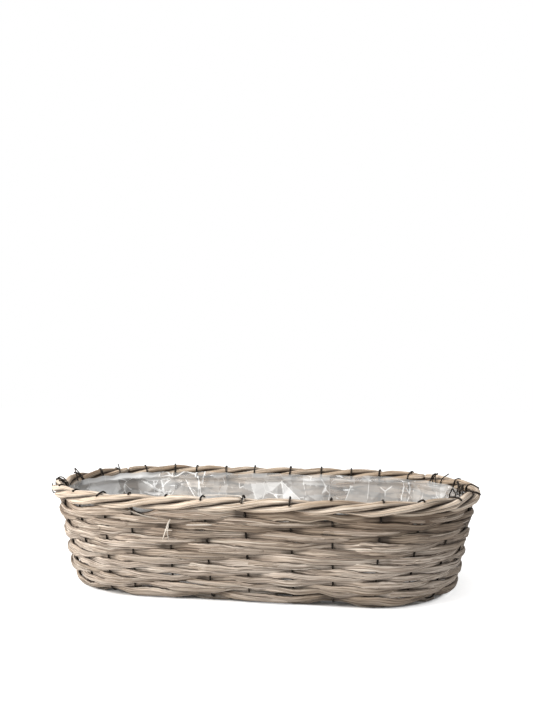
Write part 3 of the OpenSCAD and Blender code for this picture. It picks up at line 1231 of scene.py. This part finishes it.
@dataclass
class RopedRim:
    """Three whole willow rods laid round each other like a rope."""

    form: Form
    material: bpy.types.Material
    rings: int = 660
    sides: int = 16
    radius_spread: float = 0.16
    wander: float = 0.21
    # Buds: their number, length and height, the swelling all round, and the rounding of the ends.
    buds: int = 9
    bud_mm: float = 4.5
    bud_high: float = 0.8
    bud_ring: float = 0.3
    end_mm: float = 3.0
    seed: int = 3

    def lay(self, u: Array, rod: int) -> tuple[Array, Array, Array]:
        """The middle of a rod at places round the rim.

        It turns round the rope's middle at an even rate, eight times round the rim.

        Args:
            u: Place round the basket, in stakes.
            rod: Number of the rod, from 1.

        Returns:
            The turn as an angle, the distance outwards and the height.
        """
        form = self.form
        wind = TAU * (form.rim_turns * np.asarray(u) / form.stakes + rod / 3)
        return wind, form.rim_r + form.lay_r * np.cos(wind), form.rim_z + form.lay_r * np.sin(wind)

    def rod(self, rod: int) -> Surface:
        """Works out one rod: a round profile in each upright cross section of the rim.

        Args:
            rod: Number of the rod, from 1.

        Returns:
            The rod as a tube with rounded ends.
        """
        form = self.form
        rng = np.random.default_rng(self.seed + rod)
        share = np.linspace(0, 1, self.rings)
        gap = form.butt_gap / form.perimeter
        u = (rod - 1) * form.stakes / 3 + form.stakes * (gap + share * (1 - 2 * gap))
        wind, r0, z0 = self.lay(u, rod)
        r0 = r0 + self.wander * ripple(share, rng, 10, 34)
        z0 = z0 + self.wander * ripple(share, rng, 10, 34)
        radius = form.rod_d / 2 + self.radius_spread * ripple(share, rng, 2, 9)
        a = TAU * np.arange(self.sides) / self.sides
        bumps = 0.07 * np.stack([ripple(share, rng, 30, 120, 7) for _ in a], -1)
        for at, side in zip(rng.uniform(0.02, 0.98, self.buds), rng.uniform(0, TAU, self.buds)):
            near = np.exp(-(((share - at) * form.perimeter / self.bud_mm) ** 2))
            facing = np.exp(-((np.angle(np.exp(1j * (a - side))) / 0.7) ** 2))
            bumps = bumps + near[:, None] * (self.bud_ring + self.bud_high * facing[None])
        end = np.minimum(share, 1 - share) * form.perimeter / self.end_mm
        radius = radius * np.sqrt(np.clip(1 - (1 - np.clip(end, 0, 1)) ** 2, 0.12, 1))
        reach = radius[:, None] + bumps
        r = r0[:, None] + reach * np.sin(a)
        z = z0[:, None] + reach * np.cos(a)
        toward = np.cos(a[None] - (math.pi / 2 - wind[:, None]))
        # Painted shade in the crevices, on the side of each rod that faces the rope's middle.
        crevice_shade = np.clip((0.45 - toward) / 0.9, 0, 1)
        points = form.place(u[:, None], r, z)
        tone = 0.72 + 0.25 * ripple(share, rng, 2, 14, 5) + rng.uniform(-0.12, 0.12)
        # The rods are darker towards the rear.
        tone = np.clip(tone - 0.72 * smooth_step((points[:, 0, 1] + 30) / 90), 0, 1)
        return Surface(
            points,
            share * form.perimeter + 1500 * rod,
            TAU * form.rod_d / 2 * np.arange(self.sides + 1) / self.sides + 40 * rod,
            marks={
                "tone": np.broadcast_to(tone[:, None], r.shape),
                "painted_shade": crevice_shade,
                "high": 0.6 + 0 * r,
            },
        )

    def build(self) -> list[bpy.types.Object]:
        """Builds the three rods, each as a piece of its own.

        Returns:
            The pieces.
        """
        return [
            finish_piece(
                make_piece(f"willow_rod_{rod}", [self.rod(rod)]),
                self.material,
                (f"rim_rod_{rod}",),
            )
            for rod in (1, 2, 3)
        ]


@dataclass
class FrameWires:
    """The wires that the basket is woven on: stakes with hooks over the rim, joined in the base."""

    form: Form
    rim: RopedRim
    material: bpy.types.Material
    step: float = 1.6
    sides: int = 8
    # Ranges of the draws for each hook: how far round it goes, in radians, how far it stands off
    # the rope at the straight sides, and the length of its straight end, in millimetres.
    hook_turn: Pair = (-0.5, 0.25)
    hook_slack: Pair = (0.1, 1.5)
    hook_tail: Pair = (0.6, 2.2)
    seed: int = 19

    def rope_reach(self, u: float, angle: Array) -> Array:
        """Where a wire drawn tight round the rope lies, in the upright plane at one place.

        For each direction it takes the rod that reaches furthest that way, and goes from that
        rod's middle by the rod's and the wire's radius in that direction.

        Args:
            u: Place round the basket, in stakes.
            angle: Directions, in radians: 0 is outwards and a quarter turn is up.

        Returns:
            Distance outwards from the spine and height, for each direction.
        """
        form = self.form
        middles = np.stack([np.stack(self.rim.lay(u, rod)[1:]) for rod in (1, 2, 3)])
        ahead = np.stack([np.cos(angle), np.sin(angle)], -1)
        best = (middles @ ahead.T).argmax(0)
        return middles[best] + (form.rod_d / 2 + form.wire_r + 0.1) * ahead

    def stake(self, number: float) -> Array:
        """Follows one stake from its foot bend up to the end of its hook.

        Args:
            number: Number of the stake.

        Returns:
            Points along the wire's middle.
        """
        form = self.form
        rng = np.random.default_rng(self.seed + int(number))
        upright = np.linspace(form.foot_arc, form.wall_high + 1, 40)
        t = np.concatenate([np.linspace(0, form.foot_arc, 9)[:-1], upright])
        r, z = form.wall(t, 0.0)
        leg = form.place(form.stake_place(number, t), r, z)
        top = float(form.stake_place(number, form.wall_high * 1.02))
        angle = np.linspace(math.radians(190), form.hook_end + rng.uniform(*self.hook_turn), 30)
        around = self.rope_reach(top, angle)
        facing = abs(math.sin(float(form.spine(top)[1])))
        slack = rng.uniform(*self.hook_slack) * facing**8
        around[:, 1] += slack * np.exp(-(((angle - math.radians(100)) / 0.6) ** 2))
        onward = np.array([math.sin(angle[-1]), -math.cos(angle[-1])])
        tail = around[-1] + rng.uniform(*self.hook_tail) * onward
        around = np.concatenate([around, tail[None]])
        slip = np.linspace(0, rng.uniform(-0.05, 0.05), len(around))
        hook = form.place(top + slip, around[:, 0], around[:, 1])
        return np.concatenate([leg, hook])

    def wire(self, first: float, second: float, run: float) -> Surface:
        """Works out one wire: down one stake, across the base and up the other.

        Args:
            first: Number of the first stake.
            second: Number of the other stake.
            run: Straight run towards the middle before the wire turns.

        Returns:
            The wire as a tube.
        """
        form = self.form
        u = np.array([float(form.stake_place(k, 0.0)) for k in (first, second)])
        down, up = self.stake(first)[::-1], self.stake(second)
        inner = form.foot_r - run
        floor = form.place(u, np.array([inner, inner]), np.array([form.floor_z] * 2))
        path = soften(resample(np.concatenate([down, floor, up]), self.step), 2)
        heading = np.gradient(path, axis=0)
        flat = unit(np.cross([0, 0, 1.0], heading))
        across = []
        for place, sign in zip(u, (-1.0, 1.0)):
            angle = float(form.spine(place)[1])
            across.append(sign * np.array([-math.sin(angle), math.cos(angle), 0.0]))
        reach = np.concatenate([[0], np.cumsum(np.linalg.norm(np.diff(path, axis=0), axis=-1))])
        low = path[:, 2] < form.floor_z + 0.6
        begin, end = reach[low][0], reach[low][-1]
        side = np.where((reach > end)[:, None], across[1], flat)
        side = np.where((reach < begin)[:, None], across[0], side)
        return tube(path, form.wire_r, side, self.sides)

    def build(self) -> list[bpy.types.Object]:
        """Builds every frame wire as a piece of its own.

        Returns:
            The pieces.
        """
        form = self.form
        reach = (form.crossings - 1) // 2
        pieces = []
        for j in range(1, form.crossings + 1):
            front, rear = j - 1 - reach, form.stakes // 2 - (j - 1 - reach)
            node = f"cross_wire_{j:02d}"
            pieces.append((f"wire_cross_{j:02d}", front, rear, form.cross_run, node))
        for j in range(1, form.hairpins + 1):
            first = (j - 1) // 2 * form.stakes // 2 + reach + 1 + 2 * ((j - 1) % 2)
            pieces.append((f"wire_end_{j}", first, first + 1, form.hairpin_run, f"end_wire_{j}"))
        return [
            finish_piece(
                make_piece(name, [self.wire(first, second, run)]), self.material, (node,)
            )
            for name, first, second, run, node in pieces
        ]


@dataclass
class LooseWires:
    """Free ends of thinner wire: spikes and loops that stand off the rim, and loose coils.

    Each is given by its place in stakes round the basket, and by how far outwards and upwards it
    lies of the rope's middle, as read from the photo.
    """

    form: Form
    material: bpy.types.Material
    sides: int = 8
    thinner: float = 0.7
    spike: tuple[Point, ...] = (
        (20.36, -6, -12), (20.37, -7.8, -2.6), (20.34, -5, 6), (20.37, -3, 13.3),
    )
    loop: tuple[Point, ...] = (
        (21.11, -9, -6), (21.1, -8.3, 1.5), (21.06, -2.5, 9), (20.97, 4.5, 7.6), (20.95, 8.9, -1),
    )
    bent: tuple[Point, ...] = (
        (22.34, -8.5, -1), (22.28, -5, 8.5), (22.2, -1, 16), (22.1, -4.5, 9), (21.94, -9, -2),
    )
    upright: tuple[Point, ...] = (
        (9.5, -10, -11), (9.53, -10.2, 0), (9.49, -8.5, 8), (9.42, -5, 11),
    )
    second: tuple[Point, ...] = ((9.38, -10.5, -10), (9.37, -10, 2), (9.45, -9, 9))
    slanted: tuple[Point, ...] = ((9.23, -9.5, -5), (9.17, -7.5, 6), (9.03, -2, 12))
    # The coils: places of the two ends in stakes, middle and radius outwards and upwards, turns.
    coils: tuple[tuple[Pair, Pair, Pair, float], ...] = (
        ((22.95, 23.3), (0.0, 0.0), (8.3, 8.3), 1.35),
        ((23.65, 23.45), (0.0, 0.0), (8.4, 8.4), 0.8),
        ((6.7, 8.0), (-13.5, 1.5), (2.0, 6.0), 2.2),
        ((8.1, 7.0), (-12.5, 2.0), (1.6, 7.0), 1.6),
        ((6.15, 6.6), (-20.0, 1.5), (4.0, 6.5), 0.85),
    )
    # The one that lies on the wall's face, in millimetres from the origin.
    stray: tuple[Point, ...] = (
        (-117.4, -124.4, 102.0), (-111.0, -125.4, 98.4), (-100.6, -125.2, 93.7),
    )

    def from_rope(self, steps: Array | tuple[Point, ...]) -> Array:
        """Turns places, with outward and upward reach from the rope's middle, into points."""
        steps = np.asarray(steps, float)
        form = self.form
        return form.place(steps[:, 0], form.rim_r + steps[:, 1], form.rim_z + steps[:, 2])

    def coil(self, at: Pair, middle: Pair, reach: Pair, turns: float, seed: int) -> Array:
        """A wire wound in uneven coils.

        Args:
            at: Place of its two ends, in stakes.
            middle: Middle of the coils, outwards and upwards of the rope's middle.
            reach: Radius of the coils, outwards and upwards.
            turns: Number of coils.
            seed: Seed of its unevenness.

        Returns:
            Points along the wire.
        """
        rng = np.random.default_rng(seed)
        t = np.linspace(0, 1, int(28 * turns) + 8)
        a = TAU * (turns * t + rng.uniform(0, 1))
        uneven = 1 + 0.12 * ripple(t, rng, 1, 4, 4)
        out = middle[0] + reach[0] * uneven * np.cos(a)
        up = middle[1] + reach[1] * uneven * np.sin(a)
        u = at[0] + (at[1] - at[0]) * t + 0.04 * ripple(t, rng, 1, 5, 4)
        return self.from_rope(np.stack([u, out, up], -1))

    def build(self) -> bpy.types.Object:
        """Builds the loose wires as one piece.

        Returns:
            The piece.
        """
        ends = (self.spike, self.loop, self.bent, self.upright, self.second, self.slanted)
        paths = [soften(resample(self.from_rope(end), 0.9), 10) for end in ends]
        paths += [self.coil(*coil, seed) for seed, coil in enumerate(self.coils, 1)]
        paths.append(curve_through(self.stray))
        side = np.array([0.8, -0.55, 0.23])
        radius = self.thinner * self.form.wire_r
        wires = [
            tube(path, radius, np.broadcast_to(side, path.shape), self.sides) for path in paths
        ]
        return finish_piece(make_piece("loose_wire_ends", wires), self.material)


@dataclass
class LooseFibres:
    """Slivers that have split off the strips and lie on them, and a few that hang free."""

    weave: WallWeave
    pale: bpy.types.Material
    count: int = 90
    sides: int = 6
    # The fibres that hang free: radius and points, in millimetres, read from the photo.
    hanging: tuple[tuple[float, tuple[Point, ...]], ...] = (
        (0.85, (
            (-74.3, -125.5, 91.6), (-76.3, -126.6, 87.5),
            (-78.6, -125.4, 81.4), (-83.4, -123.8, 69.3),
        )),
        (0.6, ((-75.8, -126.3, 86.5), (-78.0, -125.4, 78.4), (-77.0, -123.8, 69.5))),
        (0.6, ((-118.2, -125.6, 99.5), (-104.1, -126.4, 94.9), (-87.0, -125.8, 91.4))),
        (0.7, ((-57.8, -126.0, 86.2), (-42.4, -126.3, 87.2), (-30.7, -126.0, 87.5))),
        (0.5, ((-72.6, -125.2, 79.8), (-77.1, -126.0, 80.3), (-81.0, -125.4, 80.0))),
        (0.5, (
            (-39.8, -124.0, 117.0), (-20.6, -122.6, 117.6),
            (-0.9, -124.0, 117.4), (1.5, -128.4, 112.3),
        )),
    )
    seed: int = 23

    def sliver(self, number: int) -> Surface:
        """Works out a sliver that lies along a strip's outer face, pointed at both ends.

        Args:
            number: Number of the sliver.

        Returns:
            The sliver as a closed tube.
        """
        weave, form = self.weave, self.weave.form
        rng = np.random.default_rng(self.seed * 100 + number)
        # Every fourth sliver is dark and lies in the upper rows to the right of the front, in the
        # rim's painted shadow.
        shaded = number % 4 == 0
        row = int(rng.integers(0, 6 if shaded else form.rows))
        first = 3 * int(rng.integers(0, 3) if shaded else rng.integers(0, form.stakes // 3)) - row
        start = first + rng.uniform(0.45, 1.7)
        stop = min(start + rng.uniform(0.3, 1.2), first + 2.6)
        share = np.linspace(0, 1, 18)
        v = start + share * (stop - start)
        p = np.mod(v + row, 3)
        wide = rng.uniform(0.35, 0.85) * np.sqrt(np.clip(1 - (2 * share - 1) ** 4, 0.05, 1))
        middle = form.row_middle(row) + rng.uniform(-3.2, 3.2)
        middle = middle + rng.uniform(-1.2, 1.2) * (share - 0.5)
        middle = middle + 0.15 * ripple(share, rng, 1, 2, 3)
        dark = shaded or rng.uniform() < 0.35
        a = TAU * np.arange(self.sides) / self.sides
        lift = weave.inner_face(p) + form.strip_t + rng.uniform(0.05, 0.5)
        thick = 0.5 * np.minimum(wide, 0.7)
        t = middle[:, None] + wide[:, None] * np.cos(a)
        r, z = form.wall(t, lift[:, None] + thick[:, None] * np.sin(a))
        u = form.stake_place(v, middle)
        return self.marked(form.place(u[:, None], r, z)[:, ::-1], 40 * share + 300 * number, dark)

    def marked(self, points: Array, along: Array, dark: bool) -> Surface:
        """Makes a closed tube of rings of points, with one tone all over.

        Args:
            points: The rings.
            along: Place of each ring for the pattern, in millimetres.
            dark: Whether it is a dark fibre.

        Returns:
            The tube as a grid.
        """
        shape = points.shape[:2]
        # Dark slivers take the strong painted shade value, and so its colour.
        marks = {
            "tone": np.full(shape, 0.2 if dark else 1.0),
            "painted_shade": np.full(shape, 0.9 if dark else 0.0),
            "high": np.full(shape, 0.3),
        }
        return Surface(points, along, 0.5 * np.arange(shape[1] + 1) + 9000, marks=marks)

    def hair(self, number: int, points: tuple[Point, ...], radius: float) -> Surface:
        """Works out a free pale fibre along given points, thinning towards its ends.

        Args:
            number: Number of the fibre.
            points: Points that it runs close to.
            radius: Radius in its middle.

        Returns:
            The fibre as a closed tube.
        """
        path = curve_through(points)
        share = np.linspace(0, 1, len(path))
        thin = radius * np.sqrt(np.clip(1 - (2 * share - 1) ** 6, 0.1, 1))
        side = np.broadcast_to(np.array([0.75, -0.6, 0.27]), path.shape)
        grid = tube(path, thin, side, self.sides)
        return self.marked(grid.points, grid.along + 70 * number, False)

    def build(self) -> list[bpy.types.Object]:
        """Builds all slivers as one piece, and the free fibres as another.

        Returns:
            The two pieces.
        """
        slivers = [self.sliver(number) for number in range(self.count)]
        hairs = [self.hair(n, points, radius) for n, (radius, points) in enumerate(self.hanging)]
        return [
            finish_piece(make_piece(name, surfaces), material)
            for name, surfaces, material in (
                ("loose_willow_slivers", slivers, self.weave.material),
                ("free_willow_fibres", hairs, self.pale),
            )
        ]


@dataclass
class FilmLiner:
    """The clear film tub inside: a flat oval sheet pushed down, gathered and crumpled.

    The tub follows the inside of the wall and base. Its crumples are flat triangles over a
    lattice of random heights, large ones with smaller ones on them, and the lattice is itself
    pulled about, so that straight sharp creases meet at uneven angles.
    """

    form: Form
    material: bpy.types.Material
    around: int = 900
    offset: float = -4.3
    rise: float = 11.5
    lean_in: float = 5.0
    facet_mm: float = 33.0
    depth_mm: float = 4.2
    lattice_rows: int = 64
    # How sharp a bend of the sheet shows as a full crease.
    full_crease: float = 0.17
    # Where the top edge is folded over into a milky hem, in stakes, how wide the hem is, in
    # millimetres, and how milky.
    hem: Pair = (19.15, 22.35)
    hem_mm: float = 8.0
    hem_veil: float = 0.72
    # The flat sheet that the tub was made from, in metres.
    flat_width: float = 0.4
    flat_length: float = 0.64
    seed: int = 11

    def section(self) -> tuple[Array, Array, Array, Array]:
        """Half the tub's cross section, from the middle of the base up to the top edge.

        Near the top it leans in, to stay inside the wires that go over the rim.

        Returns:
            Distance outwards, height, the inward normal's share in each, and the way along it.
        """
        form = self.form
        bend = form.foot_bend + self.offset
        floor = np.linspace(0, form.foot_r, 22)[:-1]
        turn = np.linspace(0, math.pi / 2 - form.lean, 7)[:-1]
        wall_t = np.linspace(form.foot_arc, form.wall_high + self.rise, 72)
        inward = self.lean_in * smooth_step((wall_t - form.wall_high + 2) / 8)
        wall_r, wall_z = form.wall(wall_t, self.offset - inward)
        r = np.concatenate([floor, form.foot_r + bend * np.sin(turn), wall_r])
        bend_z = form.foot_z - bend * np.cos(turn)
        z = np.concatenate([0 * floor + form.foot_z - bend, bend_z, wall_z])
        tilt = np.concatenate([0 * floor, turn, 0 * wall_t + math.pi / 2 - form.lean])
        normal = np.stack([-np.sin(tilt), np.cos(tilt)], -1)
        way = np.concatenate([[0], np.cumsum(np.hypot(np.diff(r), np.diff(z)))])
        return r, z, normal, way

    def facets(
        self, x: Array, y: Array, rng: np.random.Generator, columns: int
    ) -> tuple[Array, Array]:
        """A sheet of flat triangles over a lattice of random heights.

        Each cell of the lattice is split by a diagonal, one way and the other in turn, and the
        height is linear on each half. The lattice closes after the given number of columns.

        Args:
            x: Place along the lattice's columns.
            y: Place along its rows.
            rng: Source of the random draws.
            columns: Columns round the basket.

        Returns:
            Heights from -1 to 1, and one random value from 0 to 1 for each triangle.
        """
        rows = self.lattice_rows
        heights = rng.uniform(-1, 1, (columns, rows))
        values = rng.uniform(0, 1, (columns, rows, 2))
        i, j = np.floor(x).astype(int), np.floor(y).astype(int)
        fx, fy = x - i, y - j
        odd = (i + j) % 2 == 1
        near, far = np.where(odd, i + 1, i) % columns, np.where(odd, i, i + 1) % columns
        fx = np.where(odd, 1 - fx, fx)
        i, j, k = i % columns, j % rows, (j + 1) % rows
        near_j, far_j = heights[near, j], heights[far, j]
        near_k, far_k = heights[near, k], heights[far, k]
        low = near_j + fx * (far_j - near_j) + fy * (near_k - near_j)
        high = far_k + (1 - fx) * (near_k - far_k) + (1 - fy) * (far_j - far_k)
        first = fx + fy < 1
        return np.where(first, low, high), np.where(first, values[i, j, 0], values[i, j, 1])

    def crumple(self, turn: Array, way: Array) -> tuple[Array, Array, Array]:
        """Height of the crumples off the tub, as grids.

        Args:
            turn: Place round the basket, from 0 to 1.
            way: Place up the cross section, in millimetres.

        Returns:
            Heights in millimetres of all crumples and of the large ones alone, and how milky each
            facet is, from 0 to 1, which is partly haze and partly painted reflection.
        """
        rng = np.random.default_rng(self.seed)
        size = self.facet_mm
        columns = 2 * int(self.form.perimeter / size / 2)
        a, b = np.meshgrid(turn, way, indexing="ij")
        x, y = a * columns, b / (0.85 * size)
        pull_x = 0.6 * self.facets(x / 2, y / 2, rng, columns // 2)[0]
        pull_y = 0.6 * self.facets(x / 2 + 0.5, y / 2 + 0.3, rng, columns // 2)[0]
        busy = np.clip(0.8 + 0.45 * ripple(a, rng, 2, 11, 5), 0.2, 1.5)
        height, pane = self.facets(x + pull_x, y + pull_y, rng, columns)
        large = self.depth_mm * (1 + height) * (0.55 + 0.45 * busy)
        height, small_pane = self.facets(2 * x + 2.6 * pull_y, 2 * y + 2 * pull_x, rng, 2 * columns)
        second = 0.26 * self.depth_mm * (1 + height) * busy
        height, _ = self.facets(5 * x + 3 * pull_x, 5 * y - 2 * pull_y, rng, 5 * columns)
        fine = 0.12 * self.depth_mm * (1 + height) * busy
        # Milky facets: partly haze, partly painted reflections of the lights.
        milky = 0.27 + 0.55 * smooth_step((pane - 0.5) / 0.45) + 0.45 * small_pane**4
        return large + second + fine, large + second, milky

    def surface(self) -> Surface:
        """Works out the film as one open sheet, with its crease and veil values at each point.

        A crease shows where the sheet's slope changes, and its white is partly painted highlight.
        The veil is one value for each facet, partly painted reflection, and high on the folded hem
        along part of the top.

        Returns:
            The sheet as a grid.
        """
        form = self.form
        r, z, normal, way = self.section()
        turn = np.arange(self.around) / self.around
        height, large, pane = self.crumple(turn, way)
        wall = smooth_step((way - 85) / 30)
        upper = smooth_step((way - 140) / 35)
        edge = smooth_step((way - way[-1] + 12) / 10)
        fade = (0.25 + 0.75 * wall) * (1 - 0.8 * edge) * smooth_step(way / 12.0)
        u = turn * form.stakes
        off = height * fade
        points = form.place(u[:, None], r + off * normal[:, 0], z + off * normal[:, 1])
        rng = np.random.default_rng(self.seed + 1)
        ragged = -1.6 + 0.9 * np.clip(ripple(turn, rng, 9, 40), -1.5, 1.2)
        points[..., 2] += ragged[:, None] * edge
        step_a, step_b = form.perimeter / self.around, float(way[-1] - way[-2])
        bend_a = np.abs(np.roll(large, 1, 0) + np.roll(large, -1, 0) - 2 * large) / step_a
        bend_b = np.abs(np.gradient(np.gradient(large, axis=1), axis=1)) / step_b
        strength = np.clip(0.8 + 0.4 * ripple(turn, rng, 5, 40), 0.25, 1.3)[:, None]
        crease = np.clip((bend_a + bend_b) * strength / self.full_crease, 0, 1.3)
        crease = crease * (1 - 0.6 * edge) * (0.2 + 0.8 * upper)
        folded = smooth_step((u - self.hem[0]) / 0.3) * smooth_step((self.hem[1] - u) / 0.3)
        hem = smooth_step((way - way[-1] + self.hem_mm) / 0.8) * (0.12 + 0.88 * folded[:, None])
        veil = np.clip(pane * (0.85 + 0.25 * ripple(turn, rng, 3, 14)[:, None]), 0, 1)
        veil = np.maximum(veil * (0.2 + 0.8 * upper) * (1 - 0.6 * edge), self.hem_veil * hem)
        along = np.arange(self.around + 1) / self.around * form.perimeter
        marks = {"crease": crease, "veil": veil}
        return Surface(points, along, way, rings_close=False, run_closes=True, marks=marks)

    def build(self) -> bpy.types.Object:
        """Builds the film.

        Returns:
            The piece.
        """
        piece = make_piece("film_liner", [self.surface()])
        finish_piece(piece, self.material, ("liner",))
        return piece


@dataclass
class Studio:
    """A plain pale floor, soft light and the camera at the photo's angle, in metres and radians."""

    distance: float = 0.755
    azimuth: float = 0.15
    elevation: float = 0.2964
    pitch: float = 0.2
    roll: float = 0.0032
    focal_px: float = 612.5
    centre_px: Pair = (261.0, 514.2)
    image_px: tuple[int, int] = (533, 711)
    room_light: float = 0.55
    aim: Point = (0.0, 0.0, 0.06)
    floor_half: float = 6.0
    floor_drop: float = 0.0004
    floor_glow: float = 0.65
    # The oval under the basket, where the floor doesn't glow: half its straight run, the radius
    # of its ends and the width of its soft edge.
    half_straight: float = 0.119
    footprint: float = 0.101
    footprint_edge: float = 0.006

    def camera(self) -> None:
        """Places the camera: it stands off the middle of the underside and looks a little down."""
        az, el, pitch = self.azimuth, self.elevation, self.pitch
        place = self.distance * Vector(
            (math.sin(az) * math.cos(el), -math.cos(az) * math.cos(el), math.sin(el))
        )
        level = math.cos(pitch)
        look = Vector((-math.sin(az) * level, math.cos(az) * level, -math.sin(pitch)))
        right = Vector((math.cos(az), math.sin(az), 0.0))
        up = right.cross(look)
        turned = math.cos(self.roll) * right + math.sin(self.roll) * up
        upright = math.cos(self.roll) * up - math.sin(self.roll) * right
        data = bpy.data.cameras.new("camera")
        data.sensor_width = 36.0
        long_side = self.image_px[1]
        data.lens = self.focal_px / long_side * data.sensor_width
        data.shift_x = (self.image_px[0] / 2 - self.centre_px[0]) / long_side
        data.shift_y = (self.centre_px[1] - self.image_px[1] / 2) / long_side
        data.clip_start = 0.02
        camera = bpy.data.objects.new("camera", data)
        axes = Matrix((turned, upright, -look)).transposed().to_4x4()
        camera.matrix_world = Matrix.Translation(place) @ axes
        bpy.context.scene.collection.objects.link(camera)
        bpy.context.scene.camera = camera

    def lamp(self, name: str, place: Point, size: float, power: float, tint: str) -> None:
        """Adds a square soft light that faces the basket.

        Args:
            name: Name of the light.
            place: Where it stands, in metres.
            size: Side of the square, in metres.
            power: Power in watts.
            tint: Its colour.
        """
        data = bpy.data.lights.new(name, "AREA")
        data.size, data.energy = size, power
        data.color = linear(tint)[:3]
        lamp = bpy.data.objects.new(name, data)
        lamp.location = place
        towards = Vector(self.aim) - Vector(place)
        lamp.rotation_euler = towards.to_track_quat("-Z", "Y").to_euler()
        bpy.context.scene.collection.objects.link(lamp)

    def floor(self) -> None:
        """Lays a wide pale floor, which glows to the camera alone, apart from under the basket."""
        material, tree, shader = blank("pale_studio_floor")
        place = add_node(tree, "ShaderNodeTexCoord").outputs["Object"]
        speck = add_node(tree, "ShaderNodeTexNoise", inputs={"Vector": place, "Scale": 3.0})
        colour = mixed(tree, speck.outputs["Fac"], linear("#dcdcdc"), linear("#e0e0e0"))
        tree.links.new(colour, shader.inputs["Base Color"])
        shader.inputs["Roughness"].default_value = 0.9
        seen = add_node(tree, "ShaderNodeLightPath").outputs["Is Camera Ray"]
        beside = place
        for how, others in (
            ("ABSOLUTE", {}),
            ("SUBTRACT", {1: (self.half_straight, 0.0, 0.0)}),
            ("MAXIMUM", {1: (0.0, 0.0, 0.0)}),
        ):
            inputs = {0: beside} | others
            beside = add_node(tree, "ShaderNodeVectorMath", {"operation": how}, inputs).outputs[0]
        away = add_node(tree, "ShaderNodeVectorMath", {"operation": "LENGTH"}, {0: beside})
        start, stop = self.footprint, self.footprint + self.footprint_edge
        open_floor = ranged(tree, away.outputs["Value"], start, stop, 0.0, self.floor_glow)
        glow = add_node(tree, "ShaderNodeMath", {"operation": "MULTIPLY"}, {0: seen, 1: open_floor})
        shader.inputs["Emission Color"].default_value = (1, 1, 1, 1)
        tree.links.new(glow.outputs[0], shader.inputs["Emission Strength"])
        half, low = self.floor_half, -self.floor_drop
        corners = [(-half, -half, low), (half, -half, low), (half, half, low), (-half, half, low)]
        mesh = bpy.data.meshes.new("pale_floor")
        mesh.from_pydata(corners, [], [(0, 1, 2, 3)])
        mesh.materials.append(material)
        floor = bpy.data.objects.new("pale_floor", mesh)
        bpy.context.scene.collection.objects.link(floor)

    def sky(self) -> None:
        """Gives the room an even white light, and the camera a plain white background."""
        world = bpy.data.worlds.new("white_room")
        world.use_nodes = True
        tree = world.node_tree
        background = tree.nodes["Background"]
        background.inputs["Color"].default_value = (1, 1, 1, 1)
        seen = add_node(tree, "ShaderNodeLightPath").outputs["Is Camera Ray"]
        strength = ranged(tree, seen, 0.0, 1.0, self.room_light, 1.0)
        tree.links.new(strength, background.inputs["Strength"])
        bpy.context.scene.world = world

    def build(self) -> None:
        """Sets up the whole studio."""
        self.camera()
        self.floor()
        self.sky()
        self.lamp("key_light", (-0.95, -0.85, 0.75), 0.5, 20.5, "#fffaf4")
        self.lamp("top_light", (-0.1, -0.2, 1.6), 1.0, 12.0, "#ffffff")
        bpy.context.scene.view_settings.view_transform = "Standard"
        log.info("studio: floor, two soft lights, camera")


def main() -> None:
    """Builds the basket, piece by piece, and the studio round it."""
    logging.basicConfig(level=logging.INFO, format="%(message)s", stream=sys.stdout)
    form = Form()
    wall_willow = SplitWillow(
        "split_willow_wall",
        pale="#f2e5d7",
        middle="#cebead",
        dark="#927f6f",
        grey="#cfc5bb",
        brown="#9a8470",
    ).build()
    base_willow = SplitWillow(
        "split_willow_base",
        pale="#c2b3a2",
        middle="#a39485",
        dark="#7c6e61",
        grey="#a39b92",
        brown="#8a7969",
    ).build()
    rod_willow = SplitWillow(
        "peeled_willow_rod",
        pale="#fff8ee",
        middle="#efddc8",
        dark="#a88e76",
        grey="#ddd1c3",
        brown="#dcc3a5",
        streak_mm=(110.0, 2.0),
        bump_mm=0.2,
        shade_strength=0.86,
        dim=0.68,
    ).build()
    bleached = SplitWillow(
        "bleached_willow_fibre",
        pale="#fffaf2",
        middle="#f6efe4",
        dark="#d9cbb9",
        grey="#efe8de",
        brown="#eee2d2",
    ).build()
    wire = AnnealedWire().build()
    film = ClearFilm().build()
    rim = RopedRim(form, rod_willow)
    weave = WallWeave(form, wall_willow)
    weave.build()
    BaseWeave(form, base_willow).build()
    rim.build()
    FrameWires(form, rim, wire).build()
    LooseWires(form, wire).build()
    LooseFibres(weave, bleached).build()
    FilmLiner(form, film).build()
    Studio().build()


if __name__ == "__main__":
    main()
